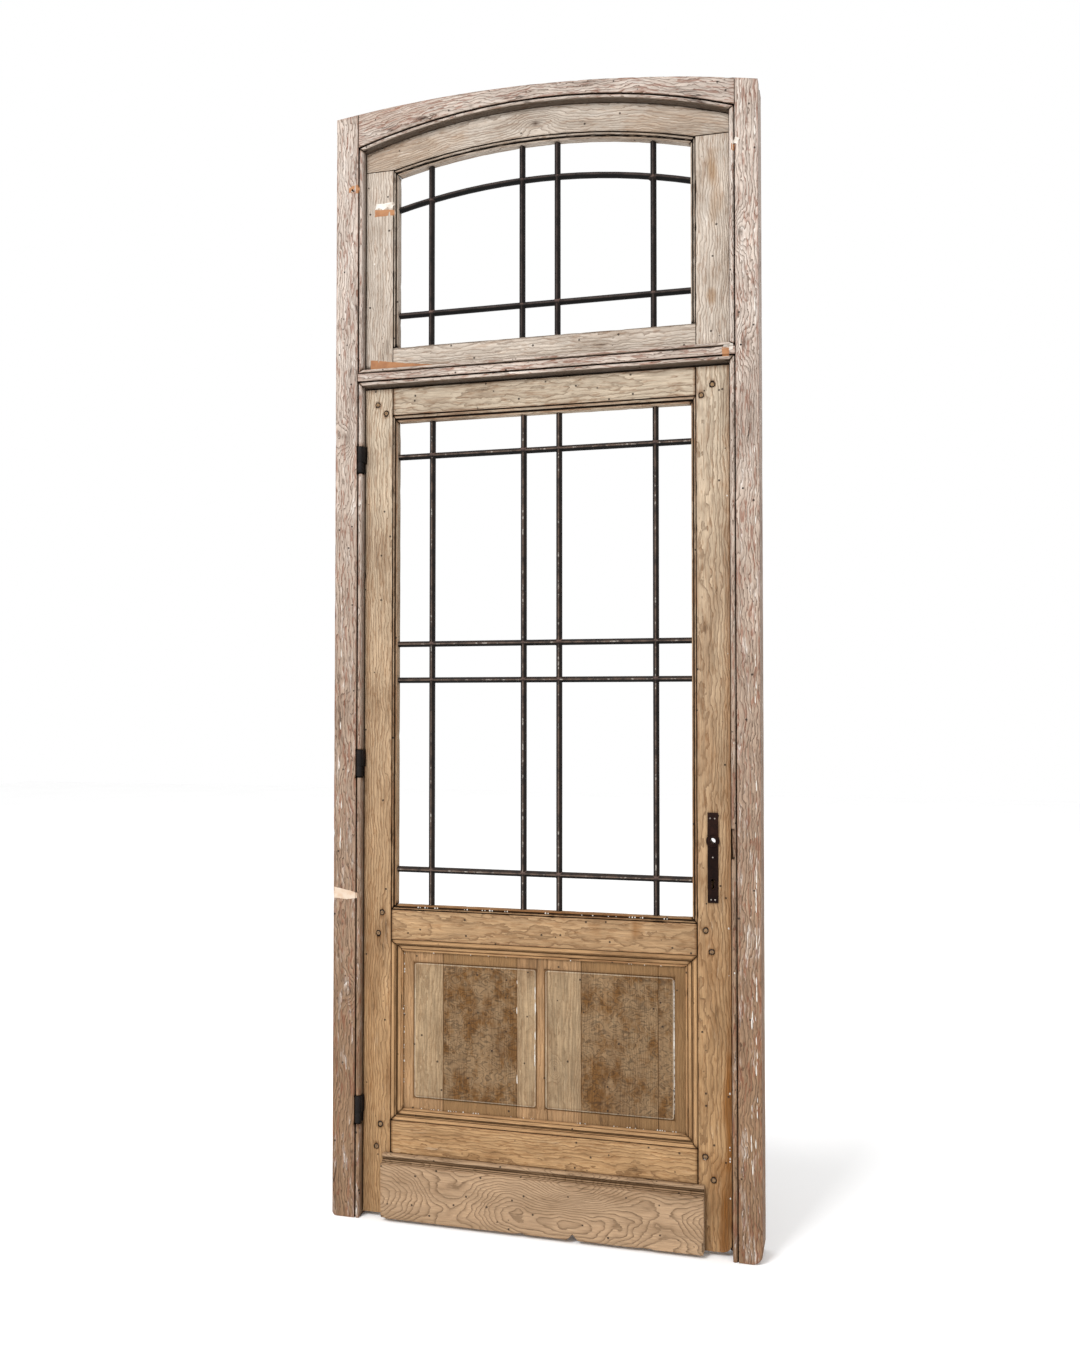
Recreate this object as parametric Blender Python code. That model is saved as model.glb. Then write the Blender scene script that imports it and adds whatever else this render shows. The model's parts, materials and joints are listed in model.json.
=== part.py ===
"""Antique oak entrance door hung in its frame, under an arched fixed light with iron bars.

Metres, +Z up. The origin is the middle of the underside of the hinge jamb's foot.
The front of the door looks along -Y, and the hinges are on its -X side.
"""

import math

import bmesh
import bpy
from mathutils import Vector

# Frame: the two jambs, seen from the front
FRAME_DEPTH = 0.100
HINGE_JAMB_WIDTH = 0.080
LOCK_JAMB_WIDTH = 0.075
OPENING_WIDTH = 1.017
BEAD_WIDTH = 0.0128
QUIRK_WIDTH = 0.0022
STOP_DEPTH_FROM_FRONT = 0.068
STOP_STAND = 0.012
FOOT_CORNER_RADIUS = 0.012
LOCK_FOOT_CORNER_RADIUS = 0.026

# Frame: the arched head, whose top and soffit follow different arcs
ARCH_LEAN = -0.015
SOFFIT_RADIUS = 1.715
LIGHT_OPENING_HEIGHT = 0.688
HEAD_TOP_RADIUS = 3.800
HEAD_TOP_LEAN = -0.125
HEAD_DEPTH = 0.054
ARCH_STEPS = 16
BEAD_STEPS = 6

# Frame: the transom bar between the door leaf and the arched light
TRANSOM_BOTTOM = 2.293
TRANSOM_BAND = 0.021
TRANSOM_TOP_BEAD = 0.010
TRANSOM_UPPER_QUIRK = 0.002

# Door leaf
LEAF_BOTTOM = 0.012
LEAF_TOP_GAP = 0.006
HINGE_GAP = 0.002
LOCK_GAP = 0.003
LEAF_RECESS = 0.022
LEAF_THICKNESS = 0.044
HINGE_STILE_WIDTH = 0.080
LOCK_STILE_WIDTH = 0.086
LEAF_CORNER_RADIUS = 0.025
TOP_RAIL_FACE = 0.074
LOCK_RAIL_BOTTOM = 0.761
LOCK_RAIL_FACE = 0.081
BOTTOM_RAIL_TOP = 0.266

# Moulding worked on the edges round the glazing, and the rebate behind it
STILE_MOULD_WIDTH = 0.014
TOP_RAIL_MOULD_WIDTH = 0.020
LOCK_RAIL_MOULD_WIDTH = 0.014
ARCH_MOULD_WIDTH = 0.018
SIGHT_EDGE_BACK = 0.028
REBATE_WIDTH = 0.008
MOULD_EDGE_SHARE = 0.10
MOULD_BEAD_SHARE = 0.20
FIRST_BEAD_SINK = 0.0006
FIRST_STEP_SINK = 0.0030
SECOND_BEAD_SINK = 0.0036
SECOND_STEP_SINK = 0.0038
SIGHT_STEP_SINK = 0.0075
SMALL_BEAD_STEPS = 4

# Tenons and the round pegs that hold them
TENON_THICKNESS = 0.013
TENON_LENGTH = 0.062
TENON_SHOULDER = 0.002
PEG_RADIUS = 0.007
PEG_SIDES = 10
PEG_PROUD = 0.0006

# Arched fixed light above the transom bar
LIGHT_SEAT_GAP = 0.002
LIGHT_THICKNESS = 0.044
LIGHT_BOTTOM_RAIL_FACE = 0.060
LIGHT_TOP_RAIL_DEPTH = 0.0963
LIGHT_ARCH_FLATTER = 0.030
LIGHT_EDGE_CLEARANCE = 0.002
SILL_ARRIS = 0.002

# Iron glazing bars: a ridged face with a thin stem behind it
BAR_FACE_WIDTH = 0.0155
BAR_RIDGE_HEIGHT = 0.008
BAR_FLANGE_THICKNESS = 0.006
BAR_STEM_THICKNESS = 0.004
BAR_STEM_DEPTH = 0.006
BAR_SETBACK = 0.008
BAR_EDGE_MARGIN = 0.097
BAR_PAIR_SPACING = 0.099
LEAF_BAR_SHIFT = 0.0015
LIGHT_BAR_SHIFT = -0.003
LEAF_ROW_MARGIN = 0.096
LEAF_ROW_SPACING = 0.100
LIGHT_ROW_MARGIN = 0.0925
LIGHT_ARCH_MARGIN = 0.093

# Bottom panel of upright boards, with two incised fields
PANEL_SETBACK = 0.015
PANEL_THICKNESS = 0.016
PANEL_TONGUE = 0.009
BOARD_JOINTS_FROM_CENTRE = (-0.275, -0.0655, 0.0185, 0.1115, 0.3175)
FIELD_OUTER_MARGIN = 0.063
FIELD_GAP = 0.0235
INCISION_WIDTH = 0.003
INCISION_DEPTH = 0.002

# Planted moulding round the panel
PANEL_MOULD_WIDTH = 0.0335
PANEL_MOULD_PROUD = 0.0025
OUTER_BEAD_RADIUS = 0.005
OUTER_BEAD_INSET = 0.0015
INNER_BEAD_RADIUS = 0.0032
INNER_BEAD_STAND = 0.001
COVE_START_INSET = 0.0035
COVE_END_INSET = 0.0015
COVE_STEPS = 4

# Weatherboard planted across the foot of the leaf
BOARD_END_INSET_HINGE = 0.062
BOARD_END_INSET_LOCK = 0.069
BOARD_BOTTOM = 0.010
BOARD_FACE_TOP = 0.156
BOARD_COVE_HEIGHT = 0.014
BOARD_COVE_SHELF = 0.003
BOARD_ARRIS_DROP = 0.003
BOARD_ARRIS_BACK = 0.001
BOARD_BEAD_HEIGHT = 0.009
BOARD_THICKNESS = 0.027
BOARD_BEAD_STAND = 0.010
NOTCH_FROM_CENTRE = 0.097
NOTCH_HEIGHT = 0.015
NOTCH_WIDTH = 0.028

# Hinges: a leaf half that lifts off a pinned jamb half
HINGE_MIDDLES = (2.081, 1.236, 0.285)
HINGE_NAMES = ("upper", "middle", "lower")
KNUCKLE_RADIUS = 0.0085
LEAF_KNUCKLE_HEIGHT = 0.045
JAMB_KNUCKLE_HEIGHT = 0.027
KNUCKLE_GAP = 0.0005
PIN_RADIUS = 0.004
PIN_HEIGHT = 0.030
PIN_CLEARANCE = 0.0003
FINIAL_HEIGHT = 0.004
FINIAL_WAIST = 0.45
FINIAL_WAIST_DROP = 0.8
KNUCKLE_ARRIS = 0.001
FLAP_THICKNESS = 0.0024
FLAP_DEPTH = 0.040
HINGE_SIDES = 16
NECK_THICKNESS = 0.005
KNUCKLE_SEAT_CLEARANCE = 0.0015

# Lock plate, its boss and holes, and the notch for the latch
BOSS_HEIGHT = 1.057
PLATE_WIDTH = 0.027
PLATE_BELOW_BOSS = 0.159
PLATE_ABOVE_BOSS = 0.072
PLATE_THICKNESS = 0.003
PLATE_FROM_LEAF_EDGE = 0.046
BOSS_RADIUS = 0.017
BOSS_THICKNESS = 0.0055
SPINDLE_HOLE_RADIUS = 0.0072
SPINDLE_BORE_RADIUS = 0.0085
KEYHOLE_BELOW_BOSS = 0.111
KEYHOLE_WIDTH = 0.010
KEYHOLE_LENGTH = 0.026
KEYHOLE_SLOT_SHARE = 0.3
KEYHOLE_DEPTH = 0.025
EYE_STEPS = 8
ROUND_SIDES = 24
LATCH_NOTCH_BELOW_BOSS = 0.044
LATCH_NOTCH_ABOVE_BOSS = 0.033
LATCH_NOTCH_WIDTH = 0.008
LATCH_NOTCH_DEPTH = 0.020

# Space left between pieces that touch
FIT = 0.0003
REACH = 0.010
MERGE_GAP = 0.000001

# Steps in a rounded corner, and the boards whose fields keep their dark varnish
CORNER_STEPS = 4
DARK_BOARDS = (2, 5, 6)

# Places worked out from the sizes above
FRONT_Y = -FRAME_DEPTH / 2
BACK_Y = FRAME_DEPTH / 2
BEAD_RADIUS = BEAD_WIDTH / 2
BEAD_ZONE = BEAD_WIDTH + QUIRK_WIDTH
STOP_Y = FRONT_Y + STOP_DEPTH_FROM_FRONT
HINGE_JAMB_OUTER = -HINGE_JAMB_WIDTH / 2
OPENING_LEFT = HINGE_JAMB_WIDTH / 2
OPENING_RIGHT = OPENING_LEFT + OPENING_WIDTH
LOCK_JAMB_OUTER = OPENING_RIGHT + LOCK_JAMB_WIDTH
LEAF_LEFT = OPENING_LEFT + HINGE_GAP
LEAF_RIGHT = OPENING_RIGHT - LOCK_GAP
LEAF_TOP = TRANSOM_BOTTOM - LEAF_TOP_GAP
LEAF_FRONT = FRONT_Y + LEAF_RECESS
LEAF_BACK = LEAF_FRONT + LEAF_THICKNESS
LEAF_MIDDLE_Y = (LEAF_FRONT + LEAF_BACK) / 2
STILE_EDGE_LEFT = LEAF_LEFT + HINGE_STILE_WIDTH
STILE_EDGE_RIGHT = LEAF_RIGHT - LOCK_STILE_WIDTH
CENTRE_X = (STILE_EDGE_LEFT + STILE_EDGE_RIGHT) / 2
SIGHT_LEFT = STILE_EDGE_LEFT + STILE_MOULD_WIDTH
SIGHT_RIGHT = STILE_EDGE_RIGHT - STILE_MOULD_WIDTH
TOP_RAIL_EDGE = LEAF_TOP - TOP_RAIL_FACE
SIGHT_TOP = TOP_RAIL_EDGE - TOP_RAIL_MOULD_WIDTH
LOCK_RAIL_EDGE = LOCK_RAIL_BOTTOM + LOCK_RAIL_FACE
SIGHT_BOTTOM = LOCK_RAIL_EDGE + LOCK_RAIL_MOULD_WIDTH
TRANSOM_TOP = TRANSOM_BOTTOM + BEAD_ZONE + TRANSOM_BAND + TRANSOM_UPPER_QUIRK + TRANSOM_TOP_BEAD
SOFFIT_CROWN_HEIGHT = TRANSOM_TOP + LIGHT_OPENING_HEIGHT
HEAD_TOP_HEIGHT = SOFFIT_CROWN_HEIGHT + HEAD_DEPTH
LIGHT_BOTTOM = TRANSOM_TOP + LIGHT_SEAT_GAP
LIGHT_FRONT = LEAF_FRONT
LIGHT_BACK = LIGHT_FRONT + LIGHT_THICKNESS
LIGHT_LEFT = OPENING_LEFT + LIGHT_EDGE_CLEARANCE
LIGHT_RIGHT = OPENING_RIGHT - LIGHT_EDGE_CLEARANCE
LIGHT_SILL = LIGHT_BOTTOM + LIGHT_BOTTOM_RAIL_FACE
LIGHT_ARCH_RADIUS = SOFFIT_RADIUS + LIGHT_ARCH_FLATTER
LIGHT_ARCH_CROWN_HEIGHT = SOFFIT_CROWN_HEIGHT - LIGHT_TOP_RAIL_DEPTH
ARCH_X = CENTRE_X + ARCH_LEAN
HEAD_TOP_X = CENTRE_X + HEAD_TOP_LEAN
PANEL_FRONT = LEAF_FRONT + PANEL_SETBACK
PANEL_BACK = PANEL_FRONT + PANEL_THICKNESS
HINGE_AXIS_X = OPENING_LEFT - BEAD_RADIUS
HINGE_AXIS_Y = FRONT_Y + BEAD_RADIUS
PLATE_X = LEAF_RIGHT - PLATE_FROM_LEAF_EDGE
KEYHOLE_HEIGHT = BOSS_HEIGHT - KEYHOLE_BELOW_BOSS
BAR_FRONT = LEAF_FRONT + BAR_SETBACK
BAR_FLANGE_BACK = BAR_FRONT + BAR_RIDGE_HEIGHT + BAR_FLANGE_THICKNESS
BAR_BACK = BAR_FLANGE_BACK + BAR_STEM_DEPTH

# Colours and metal values of the finishes, as the eye reads them
WEATHERED_OAK = ((0.56, 0.45, 0.36, 1.0), 0.85, 0.0)
HONEY_OAK = ((0.50, 0.34, 0.20, 1.0), 0.70, 0.0)
DARK_OAK = ((0.25, 0.17, 0.10, 1.0), 0.75, 0.0)
BLACK_IRON = ((0.045, 0.035, 0.033, 1.0), 0.55, 0.9)
BROWN_IRON = ((0.035, 0.018, 0.013, 1.0), 0.50, 0.9)


# Scene set-up: collections, materials and small helpers

def clear_scene():
    """Remove every object that the file opened with."""
    for item in list(bpy.data.objects):
        bpy.data.objects.remove(item, do_unlink=True)


def new_collection(name):
    """Make a collection under the scene and return it."""
    group = bpy.data.collections.new(name)
    bpy.context.scene.collection.children.link(group)
    return group


def new_material(name, finish):
    """Make a material from a colour, a roughness and a metallic value."""
    colour, roughness, metallic = finish
    material = bpy.data.materials.new(name)
    material.use_nodes = True
    shader = material.node_tree.nodes["Principled BSDF"]
    shader.inputs["Base Color"].default_value = colour
    shader.inputs["Roughness"].default_value = roughness
    shader.inputs["Metallic"].default_value = metallic
    material.diffuse_color = colour
    return material


clear_scene()
DOOR = new_collection("arched_oak_door")
CUTTERS = new_collection("cutters")
LEAF_PIECES = []


def mesh_object(name, work, cutter=False):
    """Turn a bmesh into an object in the door's or the cutters' collection."""
    bmesh.ops.recalc_face_normals(work, faces=work.faces)
    mesh = bpy.data.meshes.new(name)
    work.to_mesh(mesh)
    work.free()
    item = bpy.data.objects.new(name, mesh)
    if cutter:
        CUTTERS.objects.link(item)
        item.hide_render = True
        item.display_type = "WIRE"
    else:
        DOOR.objects.link(item)
    return item


def dress(item, finish, moving=False):
    """Give a piece its own material, and note it if it swings with the leaf."""
    item.data.materials.append(new_material(item.name + "_finish", finish))
    if moving:
        LEAF_PIECES.append(item)
    return item


def at_axis(axis, first, second, along):
    """Point of an outline drawn across an axis: X takes (y, z), Y (x, z) and Z (x, y)."""
    if axis == "X":
        return Vector((along, first, second))
    if axis == "Y":
        return Vector((first, along, second))
    return Vector((first, second, along))


def prism(name, outline, axis, low, high, cutter=False):
    """Solid of a flat outline pushed out along an axis, from low to high."""
    work = bmesh.new()
    corners = [work.verts.new(at_axis(axis, a, b, low)) for a, b in outline]
    face = work.faces.new(corners)
    pushed = bmesh.ops.extrude_face_region(work, geom=[face])
    moved = [part for part in pushed["geom"] if isinstance(part, bmesh.types.BMVert)]
    shift = at_axis(axis, 0.0, 0.0, high) - at_axis(axis, 0.0, 0.0, low)
    bmesh.ops.translate(work, verts=moved, vec=shift)
    return mesh_object(name, work, cutter)


def box(name, low, high, cutter=False):
    """Rectangular block between two corners, from a cube."""
    work = bmesh.new()
    bmesh.ops.create_cube(work, size=1.0)
    low, high = Vector(low), Vector(high)
    for corner in work.verts:
        corner.co = Vector((low[i] + (corner.co[i] + 0.5) * (high[i] - low[i]) for i in range(3)))
    return mesh_object(name, work, cutter)


def rod(name, radius, start, length, axis, sides, cutter=False):
    """Round rod from a start point along X, Y or Z."""
    work = bmesh.new()
    bmesh.ops.create_cone(work, cap_ends=True, segments=sides, radius1=radius,
                          radius2=radius, depth=length)
    direction = at_axis(axis, 0.0, 0.0, 1.0)
    turn = Vector((0.0, 0.0, 1.0)).rotation_difference(direction)
    middle = Vector(start) + direction * (length / 2)
    for corner in work.verts:
        corner.co = turn @ corner.co + middle
    return mesh_object(name, work, cutter)


def turned(name, profile, centre_x, centre_y, sides, cutter=False):
    """Turned solid: a (radius, z) profile from axis to axis, spun about an upright axis."""
    work = bmesh.new()
    corners = [work.verts.new((centre_x + radius, centre_y, z)) for radius, z in profile]
    edges = [work.edges.new(pair) for pair in zip(corners, corners[1:])]
    bmesh.ops.spin(work, geom=corners + edges, cent=(centre_x, centre_y, 0.0),
                   axis=(0.0, 0.0, 1.0), angle=2 * math.pi, steps=sides)
    bmesh.ops.remove_doubles(work, verts=work.verts, dist=MERGE_GAP)
    return mesh_object(name, work, cutter)


def swept_arch(name, section, radius, crown_z, left_x, right_x):
    """Solid of a (height above the arc, y) section carried along an arc of the door."""
    centre_z = crown_z - radius
    start = math.asin((left_x - ARCH_X) / radius)
    end = math.asin((right_x - ARCH_X) / radius)
    work = bmesh.new()
    corners = []
    for rise, y in section:
        reach = radius + rise
        corners.append(work.verts.new((ARCH_X + reach * math.sin(start), y,
                                       centre_z + reach * math.cos(start))))
    edges = [work.edges.new(pair) for pair in zip(corners, corners[1:] + corners[:1])]
    bmesh.ops.spin(work, geom=corners + edges, cent=(ARCH_X, 0.0, centre_z),
                   axis=(0.0, 1.0, 0.0), angle=end - start, steps=ARCH_STEPS)
    ends = [edge for edge in work.edges if edge.is_boundary]
    bmesh.ops.edgeloop_fill(work, edges=ends)
    return mesh_object(name, work)


def arc_height(x, centre_x, radius, crown_z):
    """Height of an arc with an upright axis of symmetry, at a given x."""
    return crown_z - radius + math.sqrt(radius ** 2 - (x - centre_x) ** 2)


def above_arc(name, centre_x, radius, crown_z):
    """Cutter that takes away everything above an arc, right across the door."""
    left = HINGE_JAMB_OUTER - 2 * HINGE_JAMB_WIDTH
    right = LOCK_JAMB_OUTER + 2 * LOCK_JAMB_WIDTH
    steps = 2 * ARCH_STEPS
    outline = []
    for step in range(steps + 1):
        x = left + (right - left) * step / steps
        outline.append((x, arc_height(x, centre_x, radius, crown_z)))
    ceiling = crown_z + 2 * HINGE_JAMB_WIDTH
    outline += [(right, ceiling), (left, ceiling)]
    return prism(name, outline, "Y", FRONT_Y - REACH, BACK_Y + REACH, cutter=True)


def change(item, other, operation):
    """Add a Boolean of one object on another."""
    step = item.modifiers.new(other.name, "BOOLEAN")
    step.object = other
    step.operation = operation
    step.solver = "EXACT"


def cut(item, *cutters):
    """Take each cutter away from the piece."""
    for cutter in cutters:
        change(item, cutter, "DIFFERENCE")


def join(item, *additions):
    """Add each solid to the piece."""
    for addition in additions:
        change(item, addition, "UNION")


# Sections

def half_round(centre, radius, front_y, steps):
    """Points of a bead's front, from its low side to its high side."""
    points = []
    for step in range(steps + 1):
        angle = math.pi * step / steps
        points.append((centre - radius * math.cos(angle), front_y + radius * (1 - math.sin(angle))))
    return points


def frame_section(width):
    """Jamb or head section: distance out from the opening's edge, and y.

    A round bead and a quirk stand at the opening's edge, and a stop at the back.
    """
    section = [(0.0, STOP_Y)]
    section += half_round(BEAD_RADIUS, BEAD_RADIUS, FRONT_Y, BEAD_STEPS)
    section += [(BEAD_ZONE, FRONT_Y + BEAD_RADIUS), (BEAD_ZONE, FRONT_Y), (width, FRONT_Y),
                (width, BACK_Y), (-STOP_STAND, BACK_Y), (-STOP_STAND, STOP_Y)]
    return section


def mould_section(width, front_y, back_y):
    """Two small beads from the face's edge to the sight edge, then the rebate behind."""
    edge = MOULD_EDGE_SHARE * width
    bead = MOULD_BEAD_SHARE * width
    low_y = front_y + FIRST_STEP_SINK
    back = front_y + SIGHT_EDGE_BACK
    section = [(0.0, front_y), (0.0, low_y), (edge, low_y)]
    section += half_round(edge + bead, bead, front_y + FIRST_BEAD_SINK, SMALL_BEAD_STEPS)[1:-1]
    section += [(edge + 2 * bead, front_y + SECOND_STEP_SINK)]
    section += half_round(width - bead, bead, front_y + SECOND_BEAD_SINK, SMALL_BEAD_STEPS)[1:-1]
    section += [(width, front_y + SIGHT_STEP_SINK), (width, back), (width - REBATE_WIDTH, back),
                (width - REBATE_WIDTH, back_y)]
    return section


def bar_section(grow=0.0):
    """Iron bar section: distance from the bar's middle line, and y."""
    face = BAR_FACE_WIDTH / 2 + grow
    stem = BAR_STEM_THICKNESS / 2 + grow
    return [(-face, BAR_FRONT + BAR_RIDGE_HEIGHT), (0.0, BAR_FRONT - grow),
            (face, BAR_FRONT + BAR_RIDGE_HEIGHT), (face, BAR_FLANGE_BACK + grow),
            (stem, BAR_FLANGE_BACK + grow), (stem, BAR_BACK), (-stem, BAR_BACK),
            (-stem, BAR_FLANGE_BACK + grow), (-face, BAR_FLANGE_BACK + grow)]


# The frame

def corner_cutter(name, x, z, radius, side):
    """Cutter that rounds the lower outer corner at (x, z); side is -1 on the left, 1 on the right."""
    centre_x = x - side * radius
    centre_z = z + radius
    outline = [(x + side * REACH, z - REACH), (x + side * REACH, centre_z)]
    for step in range(CORNER_STEPS + 1):
        angle = math.pi / 2 * step / CORNER_STEPS
        outline.append((centre_x + side * radius * math.cos(angle),
                        centre_z - radius * math.sin(angle)))
    outline.append((centre_x, z - REACH))
    return prism(name, outline, "Y", FRONT_Y - REACH - BOARD_THICKNESS, BACK_Y + REACH, cutter=True)


def jamb_mitre_cutters(side, inner_x):
    """Cutters for a jamb where the transom bar and the head meet its bead.

    side is 1 where the jamb is left of the opening and -1 where it is right of it.
    """
    quirk_x = inner_x - side * BEAD_ZONE
    past_x = inner_x + side * REACH
    middle_low = TRANSOM_BOTTOM + BEAD_ZONE
    middle_high = TRANSOM_TOP - TRANSOM_TOP_BEAD
    seat = [(quirk_x, middle_low), (inner_x, TRANSOM_BOTTOM), (past_x, TRANSOM_BOTTOM),
            (past_x, TRANSOM_TOP), (inner_x, TRANSOM_TOP), (quirk_x, middle_high)]
    soffit_z = arc_height(inner_x, ARCH_X, SOFFIT_RADIUS, SOFFIT_CROWN_HEIGHT)
    quirk_z = soffit_z + head_mitre_rise(side, inner_x)
    ceiling = HEAD_TOP_HEIGHT + REACH
    top = [(quirk_x, quirk_z), (inner_x, soffit_z), (past_x, soffit_z),
           (past_x, ceiling), (quirk_x, ceiling)]
    low, high = FRONT_Y - REACH, FRONT_Y + BEAD_RADIUS
    tag = "left" if side > 0 else "right"
    return (prism(tag + "_jamb_transom_seat", seat, "Y", low, high, cutter=True),
            prism(tag + "_jamb_head_seat", top, "Y", low, high, cutter=True))


def head_mitre_rise(side, inner_x):
    """Rise of the head's mitre line from the soffit at the jamb to the quirk's arc."""
    quirk_x = inner_x - side * BEAD_ZONE
    quirk_arc = arc_height(quirk_x, ARCH_X, SOFFIT_RADIUS + BEAD_ZONE,
                           SOFFIT_CROWN_HEIGHT + BEAD_ZONE)
    return quirk_arc - arc_height(inner_x, ARCH_X, SOFFIT_RADIUS, SOFFIT_CROWN_HEIGHT)


def cross_member_end(side, inner_x, tag):
    """Stepped cutter that ends a cross member against a jamb's quirk, face and stop."""
    def at(distance):
        return inner_x + side * distance
    low = -3 * HINGE_JAMB_WIDTH
    outline = [(at(low), FRONT_Y - REACH), (at(FIT - BEAD_ZONE), FRONT_Y - REACH),
               (at(FIT - BEAD_ZONE), FRONT_Y + BEAD_RADIUS - FIT),
               (at(FIT), FRONT_Y + BEAD_RADIUS - FIT), (at(FIT), STOP_Y - FIT),
               (at(STOP_STAND + FIT), STOP_Y - FIT), (at(STOP_STAND + FIT), BACK_Y + REACH),
               (at(low), BACK_Y + REACH)]
    return prism(tag + "_member_end", outline, "Z", TRANSOM_BOTTOM - 2 * REACH,
                 HEAD_TOP_HEIGHT + REACH, cutter=True)


def hinge_seat_cutters():
    """Cutters in the hinge jamb for the knuckles and the jamb flaps."""
    cutters = []
    for name, middle in zip(HINGE_NAMES, HINGE_MIDDLES):
        low = middle - JAMB_KNUCKLE_HEIGHT - FINIAL_HEIGHT - FIT
        high = middle + LEAF_KNUCKLE_HEIGHT + FIT
        reach = KNUCKLE_RADIUS + KNUCKLE_SEAT_CLEARANCE
        cutters.append(box(name + "_knuckle_seat",
                           (HINGE_AXIS_X - reach, FRONT_Y - REACH, low),
                           (OPENING_LEFT + REACH, HINGE_AXIS_Y + reach, high), cutter=True))
        flap_wall = OPENING_LEFT - FLAP_THICKNESS + FIT
        cutters.append(box(name + "_jamb_flap_seat", (flap_wall, FRONT_Y, low + FINIAL_HEIGHT),
                           (OPENING_LEFT + REACH, HINGE_AXIS_Y + FLAP_DEPTH + FIT, middle + FIT),
                           cutter=True))
    return cutters


def make_jamb(name, side, inner_x, width):
    """One jamb, from the floor to the head's top arc."""
    section = [(inner_x - side * out, y) for out, y in frame_section(width)]
    jamb = prism(name, section, "Z", 0.0, HEAD_TOP_HEIGHT + REACH)
    cut(jamb, *jamb_mitre_cutters(side, inner_x))
    return dress(jamb, WEATHERED_OAK)


def make_frame():
    """Both jambs, the arched head and the transom bar."""
    crown = above_arc("head_top_arc", HEAD_TOP_X, HEAD_TOP_RADIUS, HEAD_TOP_HEIGHT)
    left_end = cross_member_end(1, OPENING_LEFT, "left")
    right_end = cross_member_end(-1, OPENING_RIGHT, "right")

    hinge_jamb = make_jamb("hinge_jamb", 1, OPENING_LEFT, HINGE_JAMB_WIDTH)
    cut(hinge_jamb, crown, *hinge_seat_cutters())
    cut(hinge_jamb, corner_cutter("hinge_foot_corner", HINGE_JAMB_OUTER, 0.0,
                                  FOOT_CORNER_RADIUS, -1))

    lock_jamb = make_jamb("lock_jamb", -1, OPENING_RIGHT, LOCK_JAMB_WIDTH)
    cut(lock_jamb, crown)
    cut(lock_jamb, corner_cutter("lock_foot_corner", LOCK_JAMB_OUTER, 0.0,
                                 LOCK_FOOT_CORNER_RADIUS, 1))
    cut(lock_jamb, box("latch_notch", (OPENING_RIGHT - REACH, FRONT_Y - REACH,
                                       BOSS_HEIGHT - LATCH_NOTCH_BELOW_BOSS),
                       (OPENING_RIGHT + LATCH_NOTCH_WIDTH, FRONT_Y + LATCH_NOTCH_DEPTH,
                        BOSS_HEIGHT + LATCH_NOTCH_ABOVE_BOSS), cutter=True))

    head = swept_arch("arched_head", frame_section(HINGE_JAMB_WIDTH + LOCK_JAMB_WIDTH),
                      SOFFIT_RADIUS, SOFFIT_CROWN_HEIGHT,
                      OPENING_LEFT - HINGE_JAMB_WIDTH, OPENING_RIGHT + LOCK_JAMB_WIDTH)
    cut(head, crown, left_end, right_end)
    for tag, side, inner_x in (("left", 1, OPENING_LEFT), ("right", -1, OPENING_RIGHT)):
        soffit_z = arc_height(inner_x, ARCH_X, SOFFIT_RADIUS, SOFFIT_CROWN_HEIGHT)
        rise = head_mitre_rise(side, inner_x)
        shift = 2 * side * FIT
        wedge = [(inner_x + shift, soffit_z), (inner_x - side * BEAD_ZONE + shift, soffit_z + rise),
                 (inner_x - side * 2 * BEAD_ZONE, soffit_z + rise),
                 (inner_x - side * 2 * BEAD_ZONE, soffit_z - REACH),
                 (inner_x + shift, soffit_z - REACH)]
        cut(head, prism(tag + "_head_mitre", wedge, "Y", FRONT_Y - REACH,
                        FRONT_Y + BEAD_RADIUS, cutter=True))
    dress(head, WEATHERED_OAK)
    make_transom_bar(left_end, right_end)


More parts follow.
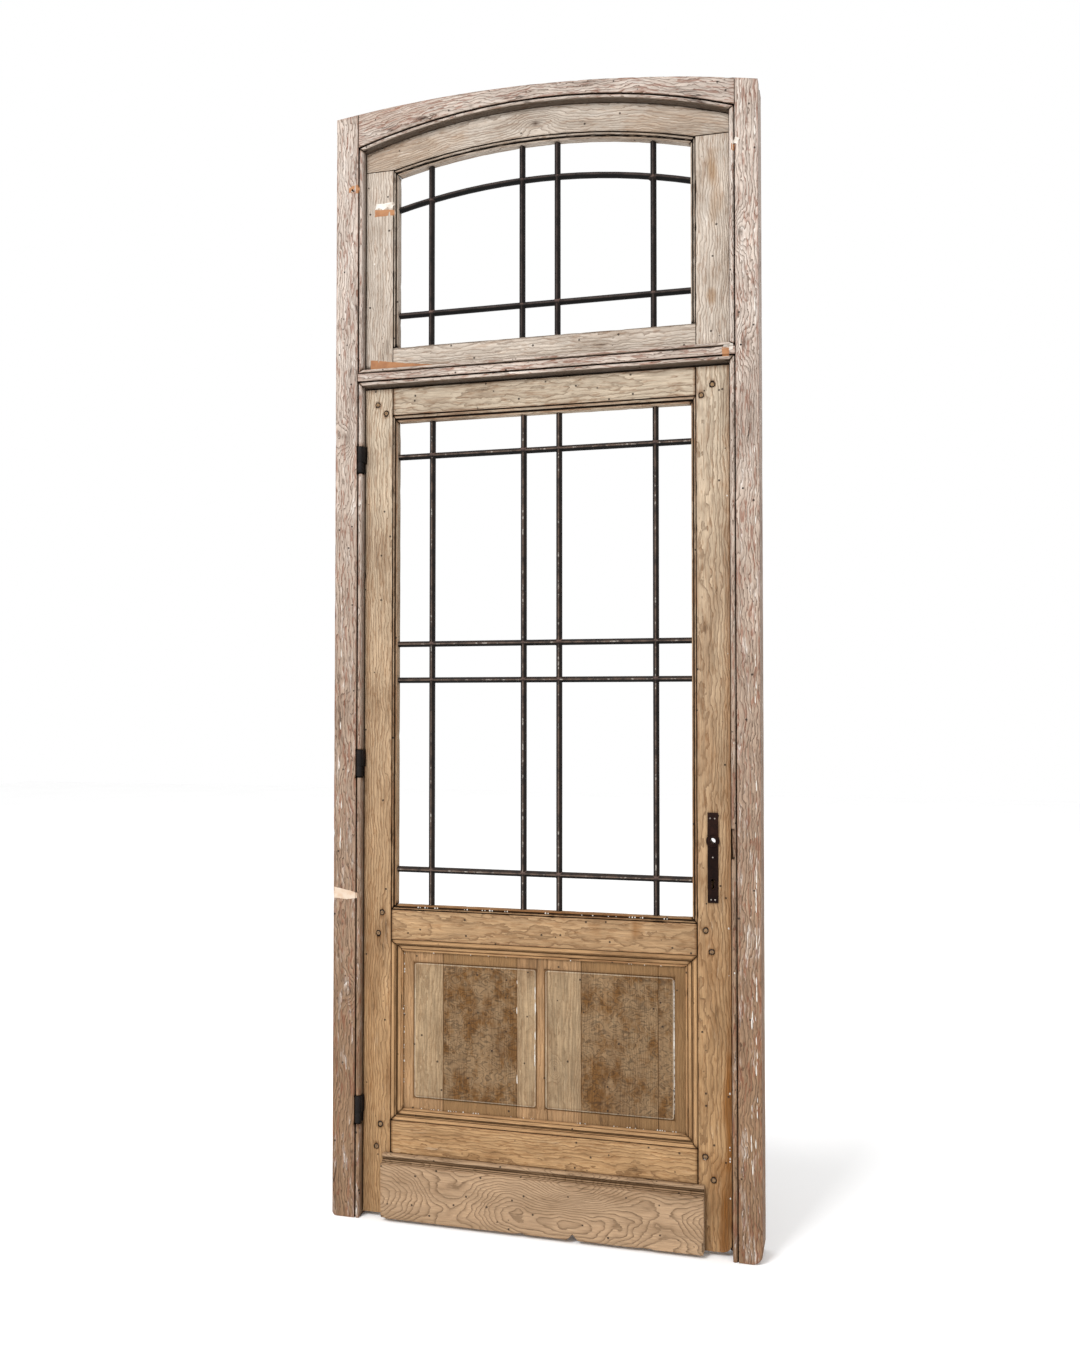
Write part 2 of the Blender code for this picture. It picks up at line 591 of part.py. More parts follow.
def make_transom_bar(left_end, right_end):
    """Transom bar: a bead and quirk along the bottom, a plain band, and a small top bead."""
    section = [(y, TRANSOM_BOTTOM + out) for out, y in
               half_round(BEAD_RADIUS, BEAD_RADIUS, FRONT_Y, BEAD_STEPS)]
    band_low = TRANSOM_BOTTOM + BEAD_ZONE
    band_high = band_low + TRANSOM_BAND
    top_low = band_high + TRANSOM_UPPER_QUIRK
    radius = TRANSOM_TOP_BEAD / 2
    section += [(FRONT_Y + BEAD_RADIUS, band_low), (FRONT_Y, band_low), (FRONT_Y, band_high),
                (FRONT_Y + radius, band_high)]
    section += [(y, z) for z, y in half_round(top_low + radius, radius, FRONT_Y, BEAD_STEPS)]
    section += [(STOP_Y, TRANSOM_TOP), (STOP_Y, TRANSOM_TOP + STOP_STAND),
                (BACK_Y, TRANSOM_TOP + STOP_STAND), (BACK_Y, TRANSOM_BOTTOM - STOP_STAND),
                (STOP_Y, TRANSOM_BOTTOM - STOP_STAND), (STOP_Y, TRANSOM_BOTTOM)]
    bar = prism("transom_bar", section, "X", OPENING_LEFT - HINGE_JAMB_WIDTH / 2,
                OPENING_RIGHT + LOCK_JAMB_WIDTH / 2)
    cut(bar, left_end, right_end)
    for tag, side, inner_x in (("left", 1, OPENING_LEFT), ("right", -1, OPENING_RIGHT)):
        quirk_x = inner_x - side * BEAD_ZONE
        shift = 2 * side * FIT
        lower = [(inner_x + shift, TRANSOM_BOTTOM), (quirk_x + shift, band_low),
                 (quirk_x - side * REACH, band_low),
                 (quirk_x - side * REACH, TRANSOM_BOTTOM - REACH),
                 (inner_x + shift, TRANSOM_BOTTOM - REACH)]
        upper = [(inner_x + shift, TRANSOM_TOP), (quirk_x + shift, top_low),
                 (quirk_x - side * REACH, top_low), (quirk_x - side * REACH, TRANSOM_TOP + REACH),
                 (inner_x + shift, TRANSOM_TOP + REACH)]
        for level, outline in (("lower", lower), ("upper", upper)):
            cut(bar, prism(tag + "_" + level + "_bar_mitre", outline, "Y", FRONT_Y - REACH,
                           FRONT_Y + BEAD_RADIUS - FIT, cutter=True))
    dress(bar, WEATHERED_OAK)


# Framed joinery shared by the leaf and the arched light

def mitre(name, edge_x, sight_x, edge_z, sight_z, side, grow=0.0):
    """Cutter over a rail's end: the wedge between the stile's face edge and the mitre line."""
    shift = side * grow
    outline = [(edge_x + shift, edge_z), (sight_x + shift, sight_z),
               (sight_x + shift, sight_z + (sight_z - edge_z)),
               (edge_x - side * REACH, sight_z + (sight_z - edge_z)),
               (edge_x - side * REACH, edge_z)]
    return prism(name, outline, "Y", FRONT_Y - REACH, BACK_Y + REACH, cutter=True)


def stile_section(outer_x, edge_x, side, front_y, back_y):
    """Stile section with the glazing moulding on its inner edge."""
    section = [(edge_x + side * u, y) for u, y in mould_section(STILE_MOULD_WIDTH, front_y, back_y)]
    return section + [(outer_x, back_y), (outer_x, front_y)]


def tenon_box(name, edge_x, side, low_z, high_z, grow=0.0, cutter=True):
    """Tenon or, grown by its clearance, the mortise that it fits."""
    start = edge_x + side * (REACH if grow == 0.0 else REACH / 2)
    end = edge_x - side * (TENON_LENGTH + grow)
    half = TENON_THICKNESS / 2 + grow
    return box(name, (min(start, end), LEAF_MIDDLE_Y - half, low_z - grow),
               (max(start, end), LEAF_MIDDLE_Y + half, high_z + grow), cutter=cutter)


RAILS = {
    "top": (TOP_RAIL_EDGE + TENON_SHOULDER, LEAF_TOP - TENON_SHOULDER),
    "lock": (LOCK_RAIL_BOTTOM + TENON_SHOULDER, LOCK_RAIL_EDGE - TENON_SHOULDER),
    "bottom": (LEAF_BOTTOM + TENON_SHOULDER, BOTTOM_RAIL_TOP - TENON_SHOULDER),
}

# Heights between which each rail's tenon gives way to the panel's tongue
PANEL_EDGES = {
    "lock": (LOCK_RAIL_BOTTOM - REACH, LOCK_RAIL_BOTTOM + PANEL_TONGUE + FIT),
    "bottom": (BOTTOM_RAIL_TOP - PANEL_TONGUE - FIT, BOTTOM_RAIL_TOP + REACH),
}

# Pegs: the rail, the distance into the stile from its inner edge, and the rise from the rail's datum
PEG_DATUMS = {"top": LEAF_TOP, "lock": LOCK_RAIL_BOTTOM, "bottom": BOTTOM_RAIL_TOP}
PEGS = {
    "top_left": (("top", 0.044, -0.043), ("top", 0.019, -0.068)),
    "top_right": (("top", 0.0425, -0.0485), ("top", 0.0135, -0.0752)),
    "middle_left": (("lock", 0.026, 0.072), ("lock", 0.037, 0.015)),
    "middle_right": (("lock", 0.0205, 0.065), ("lock", 0.036, 0.011)),
    "bottom_left": (("bottom", 0.029, -0.0125), ("bottom", 0.040, -0.074)),
    "bottom_right": (("bottom", 0.018, -0.017), ("bottom", 0.039, -0.074)),
}


def make_pegs():
    """Round oak pegs through stile and tenon, and the holes they fill, by rail and side."""
    holes = {}
    for corner, pegs in PEGS.items():
        left = corner.endswith("left")
        for number, (rail, inset, rise) in enumerate(pegs, 1):
            x = STILE_EDGE_LEFT - inset if left else STILE_EDGE_RIGHT + inset
            height = PEG_DATUMS[rail] + rise
            name = "peg_" + corner + "_" + str(number)
            peg = rod(name, PEG_RADIUS, (x, LEAF_FRONT - PEG_PROUD, height),
                      LEAF_THICKNESS + 2 * PEG_PROUD, "Y", PEG_SIDES)
            dress(peg, HONEY_OAK, moving=True)
            hole = rod(name + "_hole", PEG_RADIUS + FIT, (x, LEAF_FRONT - REACH, height),
                       LEAF_THICKNESS + 2 * REACH, "Y", PEG_SIDES, cutter=True)
            holes.setdefault((rail, left), []).append(hole)
    return holes


def make_stile(name, side, outer_x, edge_x, holes):
    """One stile of the leaf, moulded along the glazing and mortised for the rails."""
    sight_x = edge_x + side * STILE_MOULD_WIDTH
    stile = prism(name, stile_section(outer_x, edge_x, side, LEAF_FRONT, LEAF_BACK), "Z",
                  LEAF_BOTTOM, LEAF_TOP)
    past_x = sight_x + side * REACH
    over = [(edge_x, TOP_RAIL_EDGE), (sight_x, SIGHT_TOP), (past_x, SIGHT_TOP),
            (past_x, LEAF_TOP + REACH), (edge_x, LEAF_TOP + REACH)]
    under = [(edge_x, LOCK_RAIL_EDGE), (sight_x, SIGHT_BOTTOM), (past_x, SIGHT_BOTTOM),
             (past_x, LEAF_BOTTOM - REACH), (edge_x, LEAF_BOTTOM - REACH)]
    low, high = FRONT_Y - REACH, BACK_Y + REACH
    cut(stile, prism(name + "_over", over, "Y", low, high, cutter=True),
        prism(name + "_under", under, "Y", low, high, cutter=True))
    for rail, (tenon_low, tenon_high) in RAILS.items():
        cut(stile, tenon_box(name + "_" + rail + "_mortise", edge_x, side, tenon_low, tenon_high,
                             grow=FIT))
        cut(stile, *holes[(rail, side > 0)])
    cut(stile, panel_groove(name + "_groove", edge_x, side))
    return dress(stile, HONEY_OAK, moving=True)


def panel_groove(name, edge_x, side):
    """Upright groove for the panel in a stile's inner edge."""
    start = edge_x + side * REACH
    end = edge_x - side * (PANEL_TONGUE + FIT)
    return box(name, (min(start, end), PANEL_FRONT - FIT, BOTTOM_RAIL_TOP - PANEL_TONGUE),
               (max(start, end), PANEL_BACK + FIT, LOCK_RAIL_BOTTOM + PANEL_TONGUE), cutter=True)


def haunch(name, edge_x, side, rail):
    """Cutter that steps a tenon back where the panel's groove runs down the stile."""
    start = edge_x + side * 2 * REACH
    end = edge_x - side * (PANEL_TONGUE + 2 * FIT)
    low_z, high_z = PANEL_EDGES[rail]
    return box(name, (min(start, end), PANEL_FRONT - FIT, low_z),
               (max(start, end), PANEL_BACK + FIT, high_z), cutter=True)


def make_rail(name, section, rail, holes):
    """One rail of the leaf between the stiles, with a tenon at each end."""
    piece = prism(name, section, "X", STILE_EDGE_LEFT + FIT, STILE_EDGE_RIGHT - FIT)
    tenon_low, tenon_high = RAILS[rail]
    for tag, side, edge_x in (("left", 1, STILE_EDGE_LEFT), ("right", -1, STILE_EDGE_RIGHT)):
        join(piece, tenon_box(name + "_" + tag + "_tenon", edge_x, side, tenon_low, tenon_high))
        cut(piece, *holes[(rail, side > 0)])
        if rail in PANEL_EDGES:
            cut(piece, haunch(name + "_" + tag + "_haunch", edge_x, side, rail))
    return dress(piece, HONEY_OAK, moving=True)


def make_leaf_frame():
    """Stiles and rails of the leaf."""
    holes = make_pegs()
    make_stile("hinge_stile", 1, LEAF_LEFT, STILE_EDGE_LEFT, holes)
    lock_stile = make_stile("lock_stile", -1, LEAF_RIGHT, STILE_EDGE_RIGHT, holes)
    cut(lock_stile, corner_cutter("leaf_corner", LEAF_RIGHT, LEAF_BOTTOM, LEAF_CORNER_RADIUS, 1))
    cut(lock_stile, *lock_cutters(LEAF_FRONT))
    hinge_stile = bpy.data.objects["hinge_stile"]
    for name, middle in zip(HINGE_NAMES, HINGE_MIDDLES):
        cut(hinge_stile, box(name + "_leaf_flap_seat",
                             (LEAF_LEFT - REACH, LEAF_FRONT - REACH, middle),
                             (LEAF_LEFT + FLAP_THICKNESS - FIT, HINGE_AXIS_Y + FLAP_DEPTH + FIT,
                              middle + LEAF_KNUCKLE_HEIGHT + FIT), cutter=True))

    top = [(y, TOP_RAIL_EDGE - u) for u, y in
           mould_section(TOP_RAIL_MOULD_WIDTH, LEAF_FRONT, LEAF_BACK)]
    top += [(LEAF_BACK, LEAF_TOP), (LEAF_FRONT, LEAF_TOP)]
    top_rail = make_rail("top_rail", top, "top", holes)

    groove_front, groove_back = PANEL_FRONT - FIT, PANEL_BACK + FIT
    lock = [(y, LOCK_RAIL_EDGE + u) for u, y in
            mould_section(LOCK_RAIL_MOULD_WIDTH, LEAF_FRONT, LEAF_BACK)]
    groove_top = LOCK_RAIL_BOTTOM + PANEL_TONGUE + FIT
    lock += [(LEAF_BACK, LOCK_RAIL_BOTTOM), (groove_back, LOCK_RAIL_BOTTOM),
             (groove_back, groove_top), (groove_front, groove_top),
             (groove_front, LOCK_RAIL_BOTTOM), (LEAF_FRONT, LOCK_RAIL_BOTTOM)]
    lock_rail = make_rail("lock_rail", lock, "lock", holes)

    groove_low = BOTTOM_RAIL_TOP - PANEL_TONGUE - FIT
    bottom = [(LEAF_FRONT, LEAF_BOTTOM), (LEAF_FRONT, BOTTOM_RAIL_TOP),
              (groove_front, BOTTOM_RAIL_TOP), (groove_front, groove_low),
              (groove_back, groove_low), (groove_back, BOTTOM_RAIL_TOP),
              (LEAF_BACK, BOTTOM_RAIL_TOP), (LEAF_BACK, LEAF_BOTTOM)]
    make_rail("bottom_rail", bottom, "bottom", holes)

    for tag, side, edge_x, sight_x in (("left", 1, STILE_EDGE_LEFT, SIGHT_LEFT),
                                       ("right", -1, STILE_EDGE_RIGHT, SIGHT_RIGHT)):
        first_cut(top_rail, mitre(tag + "_top_mitre", edge_x, sight_x, TOP_RAIL_EDGE, SIGHT_TOP,
                                  side, 2 * FIT))
        first_cut(lock_rail, mitre(tag + "_lock_mitre", edge_x, sight_x, LOCK_RAIL_EDGE,
                                   SIGHT_BOTTOM, side, 2 * FIT))


def first_cut(item, cutter):
    """Cut a piece before any of its other changes, so its tenons stay whole."""
    cut(item, cutter)
    item.modifiers.move(len(item.modifiers) - 1, 0)


# The bottom panel and its moulding

def make_panel():
    """Upright boards in the panel grooves, with two incised rectangular fields."""
    low_z = BOTTOM_RAIL_TOP - PANEL_TONGUE
    high_z = LOCK_RAIL_BOTTOM + PANEL_TONGUE
    left = STILE_EDGE_LEFT - PANEL_TONGUE
    right = STILE_EDGE_RIGHT + PANEL_TONGUE
    joints = [left] + [CENTRE_X + joint for joint in BOARD_JOINTS_FROM_CENTRE] + [right]
    field_low = BOTTOM_RAIL_TOP + FIELD_OUTER_MARGIN
    field_high = LOCK_RAIL_BOTTOM - FIELD_OUTER_MARGIN
    fields = ((STILE_EDGE_LEFT + FIELD_OUTER_MARGIN, CENTRE_X - FIELD_GAP / 2),
              (CENTRE_X + FIELD_GAP / 2, STILE_EDGE_RIGHT - FIELD_OUTER_MARGIN))
    half = INCISION_WIDTH / 2
    bottom_y = PANEL_FRONT + INCISION_DEPTH
    face_y = PANEL_FRONT - INCISION_DEPTH
    uprights, levels = [], []
    for number, (field_left, field_right) in enumerate(fields, 1):
        for tag, x in (("left", field_left), ("right", field_right)):
            groove = [(x - 2 * half, face_y), (x + 2 * half, face_y), (x, bottom_y)]
            uprights.append((x, prism("field_" + str(number) + "_" + tag, groove, "Z",
                                      field_low, field_high, cutter=True)))
        for tag, z in (("low", field_low), ("high", field_high)):
            groove = [(face_y, z - 2 * half), (face_y, z + 2 * half), (bottom_y, z)]
            levels.append((field_left, field_right,
                           prism("field_" + str(number) + "_" + tag, groove, "X",
                                 field_left, field_right, cutter=True)))
    for number, (board_left, board_right) in enumerate(zip(joints, joints[1:]), 1):
        board = box("panel_board_" + str(number), (board_left + FIT / 2, PANEL_FRONT, low_z),
                    (board_right - FIT / 2, PANEL_BACK, high_z))
        for x, groove in uprights:
            if board_left - INCISION_WIDTH < x < board_right + INCISION_WIDTH:
                cut(board, groove)
        for start, end, groove in levels:
            if start < board_right and end > board_left:
                cut(board, groove)
        dress(board, DARK_OAK if number in DARK_BOARDS else HONEY_OAK, moving=True)


def panel_mould_section():
    """Planted moulding: distance in from the framing, and y; a bead, a cove and a bead."""
    outer = OUTER_BEAD_RADIUS
    inner = INNER_BEAD_RADIUS
    back = PANEL_FRONT - FIT
    outer_front = LEAF_FRONT - PANEL_MOULD_PROUD
    inner_front = back - 2 * inner - INNER_BEAD_STAND
    section = [(FIT, back), (FIT, outer_front + 2 * outer)]
    section += half_round(FIT + OUTER_BEAD_INSET + outer, outer, outer_front, BEAD_STEPS)
    cove_start = FIT + COVE_START_INSET + 2 * outer
    cove_end = PANEL_MOULD_WIDTH - 2 * inner - COVE_END_INSET
    cove_top = outer_front + outer
    cove_bottom = inner_front + inner
    for step in range(COVE_STEPS + 1):
        angle = math.pi / 2 * step / COVE_STEPS
        section.append((cove_start + (cove_end - cove_start) * (1 - math.cos(angle)),
                        cove_top + (cove_bottom - cove_top) * math.sin(angle)))
    section += half_round(PANEL_MOULD_WIDTH - inner, inner, inner_front, SMALL_BEAD_STEPS)
    section += [(PANEL_MOULD_WIDTH, back)]
    return section


def make_panel_mouldings():
    """Four mitred lengths of moulding round the panel."""
    section = panel_mould_section()
    low_y = FRONT_Y - REACH
    left, right = STILE_EDGE_LEFT, STILE_EDGE_RIGHT
    low, high = BOTTOM_RAIL_TOP, LOCK_RAIL_BOTTOM
    width = PANEL_MOULD_WIDTH

    def piece(name, outline, axis, start, end, wedges):
        moulding = prism(name, outline, axis, start, end)
        for number, wedge in enumerate(wedges):
            cut(moulding, prism(name + "_mitre_" + str(number), wedge, "Y", low_y, BACK_Y,
                                cutter=True))
        dress(moulding, HONEY_OAK, moving=True)

    for name, base, side in (("panel_moulding_bottom", low, 1), ("panel_moulding_top", high, -1)):
        outline = [(y, base + side * u) for u, y in section]
        wedges = []
        for corner_x, across in ((left, 1), (right, -1)):
            start = corner_x + across * FIT
            wedges.append([(start - across * REACH, base - side * REACH),
                           (start - across * REACH, base + side * (width + REACH)),
                           (start + across * (width + REACH), base + side * (width + REACH))])
        piece(name, outline, "X", left + FIT, right - FIT, wedges)
    for name, base, side in (("panel_moulding_left", left, 1), ("panel_moulding_right", right, -1)):
        outline = [(base + side * u, y) for u, y in section]
        wedges = []
        for corner_z, across in ((low, 1), (high, -1)):
            start = corner_z + across * FIT
            wedges.append([(base - side * REACH, start - across * REACH),
                           (base + side * (width + REACH), start - across * REACH),
                           (base + side * (width + REACH), start + across * (width + REACH))])
        piece(name, outline, "Z", low + FIT, high - FIT, wedges)


def make_weatherboard():
    """Weatherboard on the foot of the leaf: a flat face, a cove and a bead at the top."""
    back = LEAF_FRONT - FIT
    face = back - BOARD_THICKNESS
    cove_back = back - BOARD_BEAD_STAND
    bead_low = BOARD_FACE_TOP + BOARD_COVE_HEIGHT
    radius = BOARD_BEAD_HEIGHT / 2
    section = [(back, BOARD_BOTTOM), (face, BOARD_BOTTOM), (face, BOARD_FACE_TOP - BOARD_ARRIS_DROP),
               (face + BOARD_ARRIS_BACK, BOARD_FACE_TOP)]
    shelf = face + BOARD_COVE_SHELF
    for step in range(COVE_STEPS + 1):
        angle = math.pi / 2 * step / COVE_STEPS
        section.append((shelf + (cove_back - shelf) * math.sin(angle),
                        BOARD_FACE_TOP + BOARD_COVE_HEIGHT * (1 - math.cos(angle))))
    section += [(y - radius, z) for z, y in
                half_round(bead_low + radius, radius, cove_back, BEAD_STEPS)[1:]]
    section += [(back, bead_low + 2 * radius)]
    left = LEAF_LEFT + BOARD_END_INSET_HINGE
    right = LEAF_RIGHT - BOARD_END_INSET_LOCK
    board = prism("weatherboard", section, "X", left, right)
    notch_x = CENTRE_X + NOTCH_FROM_CENTRE
    notch = [(notch_x - NOTCH_WIDTH / 2, BOARD_BOTTOM - FIT), (notch_x, BOARD_BOTTOM + NOTCH_HEIGHT),
             (notch_x + NOTCH_WIDTH / 2, BOARD_BOTTOM - FIT), (notch_x, BOARD_BOTTOM - REACH)]
    cut(board, prism("board_notch", notch, "Y", face - REACH, LEAF_BACK, cutter=True))
    return dress(board, HONEY_OAK, moving=True)


# The arched light

def make_light():
    """Fixed sash above the transom bar: two stiles, a bottom rail and an arched top rail."""
    joints = {}
    for side, edge_x in ((1, STILE_EDGE_LEFT), (-1, STILE_EDGE_RIGHT)):
        sight_x = edge_x + side * STILE_MOULD_WIDTH
        joints[side] = (arc_height(edge_x, ARCH_X, LIGHT_ARCH_RADIUS + ARCH_MOULD_WIDTH,
                                   LIGHT_ARCH_CROWN_HEIGHT + ARCH_MOULD_WIDTH),
                        arc_height(sight_x, ARCH_X, LIGHT_ARCH_RADIUS, LIGHT_ARCH_CROWN_HEIGHT))
    low, high = FRONT_Y - REACH, BACK_Y + REACH
    places = (("light_left_stile", 1, LIGHT_LEFT, STILE_EDGE_LEFT),
              ("light_right_stile", -1, LIGHT_RIGHT, STILE_EDGE_RIGHT))
    for name, side, outer_x, edge_x in places:
        edge_z, sight_z = joints[side]
        sight_x = edge_x + side * STILE_MOULD_WIDTH
        past_x = sight_x + side * REACH
        stile = prism(name, stile_section(outer_x, edge_x, side, LIGHT_FRONT, LIGHT_BACK), "Z",
                      LIGHT_BOTTOM, edge_z)
        over = [(edge_x, edge_z), (sight_x, sight_z), (past_x, sight_z), (past_x, edge_z + REACH),
                (edge_x, edge_z + REACH)]
        under = [(edge_x, LIGHT_SILL), (past_x, LIGHT_SILL), (past_x, LIGHT_BOTTOM - REACH),
                 (edge_x, LIGHT_BOTTOM - REACH)]
        cut(stile, prism(name + "_over", over, "Y", low, high, cutter=True),
            prism(name + "_under", under, "Y", low, high, cutter=True))
        dress(stile, WEATHERED_OAK)

    rebate_y = LIGHT_FRONT + SIGHT_EDGE_BACK
    rail = [(LIGHT_FRONT, LIGHT_BOTTOM), (LIGHT_FRONT, LIGHT_SILL - SILL_ARRIS),
            (LIGHT_FRONT + SILL_ARRIS, LIGHT_SILL - FIT), (rebate_y, LIGHT_SILL - FIT),
            (rebate_y, LIGHT_SILL - REBATE_WIDTH), (LIGHT_BACK, LIGHT_SILL - REBATE_WIDTH),
            (LIGHT_BACK, LIGHT_BOTTOM)]
    dress(prism("light_bottom_rail", rail, "X", STILE_EDGE_LEFT + FIT, STILE_EDGE_RIGHT - FIT),
          WEATHERED_OAK)

    section = [(ARCH_MOULD_WIDTH - u, y) for u, y in
               mould_section(ARCH_MOULD_WIDTH, LIGHT_FRONT, LIGHT_BACK)]
    rise = SOFFIT_CROWN_HEIGHT - LIGHT_ARCH_CROWN_HEIGHT + 2 * REACH
    section += [(rise, LIGHT_BACK), (rise, LIGHT_FRONT)]
    arch = swept_arch("light_arched_rail", section, LIGHT_ARCH_RADIUS, LIGHT_ARCH_CROWN_HEIGHT,
                      OPENING_LEFT - REACH, OPENING_RIGHT + REACH)
    cut(arch, above_arc("light_top_arc", ARCH_X, SOFFIT_RADIUS - LIGHT_EDGE_CLEARANCE,
                        SOFFIT_CROWN_HEIGHT - LIGHT_EDGE_CLEARANCE))
    for tag, side, outer_x, edge_x in (("left", 1, LIGHT_LEFT, STILE_EDGE_LEFT),
                                       ("right", -1, LIGHT_RIGHT, STILE_EDGE_RIGHT)):
        edge_z, sight_z = joints[side]
        sight_x = edge_x + side * STILE_MOULD_WIDTH
        far_x = outer_x - side * 2 * HINGE_JAMB_WIDTH
        floor_z = LIGHT_SILL
        under = [(far_x, edge_z + FIT), (edge_x + side * FIT, edge_z + FIT),
                 (sight_x + side * FIT, sight_z + FIT), (sight_x + side * FIT, floor_z),
                 (far_x, floor_z)]
        cut(arch, prism(tag + "_arch_joint", under, "Y", low, high, cutter=True))
        beyond = [(far_x, floor_z), (outer_x, floor_z), (outer_x, HEAD_TOP_HEIGHT),
                  (far_x, HEAD_TOP_HEIGHT)]
        cut(arch, prism(tag + "_arch_end", beyond, "Y", low, high, cutter=True))
    dress(arch, WEATHERED_OAK)


# Iron glazing bars

def upright_bar_places(shift):
    """Middle lines of the upright bars: one near each edge and a pair at the centre."""
    return (SIGHT_LEFT + BAR_EDGE_MARGIN + shift, CENTRE_X - BAR_PAIR_SPACING / 2 + shift,
            CENTRE_X + BAR_PAIR_SPACING / 2 + shift, SIGHT_RIGHT - BAR_EDGE_MARGIN + shift)


def stem_gap(name, x, low_z, high_z):
    """Cutter that lets a level bar's stem through an upright's stem."""
    reach = BAR_FACE_WIDTH
    return box(name, (x - reach, BAR_FLANGE_BACK + FIT, low_z), (x + reach, BAR_BACK + REACH, high_z),
               cutter=True)


def make_uprights(prefix, low_z, high_z, crossings, shift, moving, crown=None):
    """Four upright bars, with their stems notched at each crossing."""
    half = BAR_STEM_THICKNESS / 2 + FIT
    for number, x in enumerate(upright_bar_places(shift), 1):
        name = prefix + "_upright_bar_" + str(number)
        bar = prism(name, [(x + u, y) for u, y in bar_section()], "Z", low_z + FIT, high_z - FIT)
        for crossing, height in enumerate(crossings, 1):
            drop = height(x)
            slack = height(x + BAR_STEM_THICKNESS) - height(x - BAR_STEM_THICKNESS)
            cut(bar, stem_gap(name + "_gap_" + str(crossing), x, drop - half - abs(slack),
                              drop + half + abs(slack)))
        if crown:
            cut(bar, crown)
        dress(bar, BLACK_IRON, moving)


def notch_level_bar(bar, low_z, high_z, shift):
    """Cut a level bar's face where each upright passes in front of its stem."""
    for number, x in enumerate(upright_bar_places(shift), 1):
        outline = [(x + u, y) for u, y in bar_section(FIT)[:4]]
        outline += [(x - BAR_FACE_WIDTH / 2 - FIT, BAR_FLANGE_BACK + FIT)]
        cut(bar, prism(bar.name + "_upright_" + str(number), outline, "Z", low_z, high_z,
                       cutter=True))


def make_level_bar(name, height, shift, moving):
    """One straight level bar between the stiles."""
    bar = prism(name, [(y, height + u) for u, y in bar_section()], "X", SIGHT_LEFT + FIT,
                SIGHT_RIGHT - FIT)
    notch_level_bar(bar, height - BAR_FACE_WIDTH, height + BAR_FACE_WIDTH, shift)
    dress(bar, BLACK_IRON, moving)


def make_bars():
    """Bars of the leaf and of the arched light."""
    middle = (SIGHT_TOP + SIGHT_BOTTOM) / 2
    rows = (SIGHT_TOP - LEAF_ROW_MARGIN, middle + LEAF_ROW_SPACING / 2,
            middle - LEAF_ROW_SPACING / 2, SIGHT_BOTTOM + LEAF_ROW_MARGIN)
    make_uprights("leaf", SIGHT_BOTTOM, SIGHT_TOP, [lambda x, z=row: z for row in rows],
                  LEAF_BAR_SHIFT, True)
    for number, row in enumerate(rows, 1):
        make_level_bar("leaf_level_bar_" + str(number), row, LEAF_BAR_SHIFT, True)

    bar_crown = LIGHT_ARCH_CROWN_HEIGHT - LIGHT_ARCH_MARGIN
    level = LIGHT_SILL + LIGHT_ROW_MARGIN

    def curved_height(x):
        return arc_height(x, ARCH_X, LIGHT_ARCH_RADIUS, bar_crown)

    crown = above_arc("bar_top_arc", ARCH_X, LIGHT_ARCH_RADIUS, LIGHT_ARCH_CROWN_HEIGHT - FIT)
    make_uprights("light", LIGHT_SILL, LIGHT_ARCH_CROWN_HEIGHT, [lambda x: level, curved_height],
                  LIGHT_BAR_SHIFT, False, crown)
    make_level_bar("light_level_bar", level, LIGHT_BAR_SHIFT, False)

    curved = swept_arch("light_curved_bar", bar_section(), LIGHT_ARCH_RADIUS, bar_crown,
                        SIGHT_LEFT - REACH, SIGHT_RIGHT + REACH)
    low_z = curved_height(SIGHT_RIGHT) - 2 * BAR_FACE_WIDTH
    high_z = bar_crown + 2 * BAR_FACE_WIDTH
    for tag, start, end in (("left", SIGHT_LEFT - 4 * REACH, SIGHT_LEFT + FIT),
                            ("right", SIGHT_RIGHT - FIT, SIGHT_RIGHT + 4 * REACH)):
        cut(curved, box(tag + "_curved_bar_end", (start, FRONT_Y, low_z), (end, BACK_Y, high_z),
                        cutter=True))
    notch_level_bar(curved, low_z, high_z, LIGHT_BAR_SHIFT)
    dress(curved, BLACK_IRON)


# Ironmongery

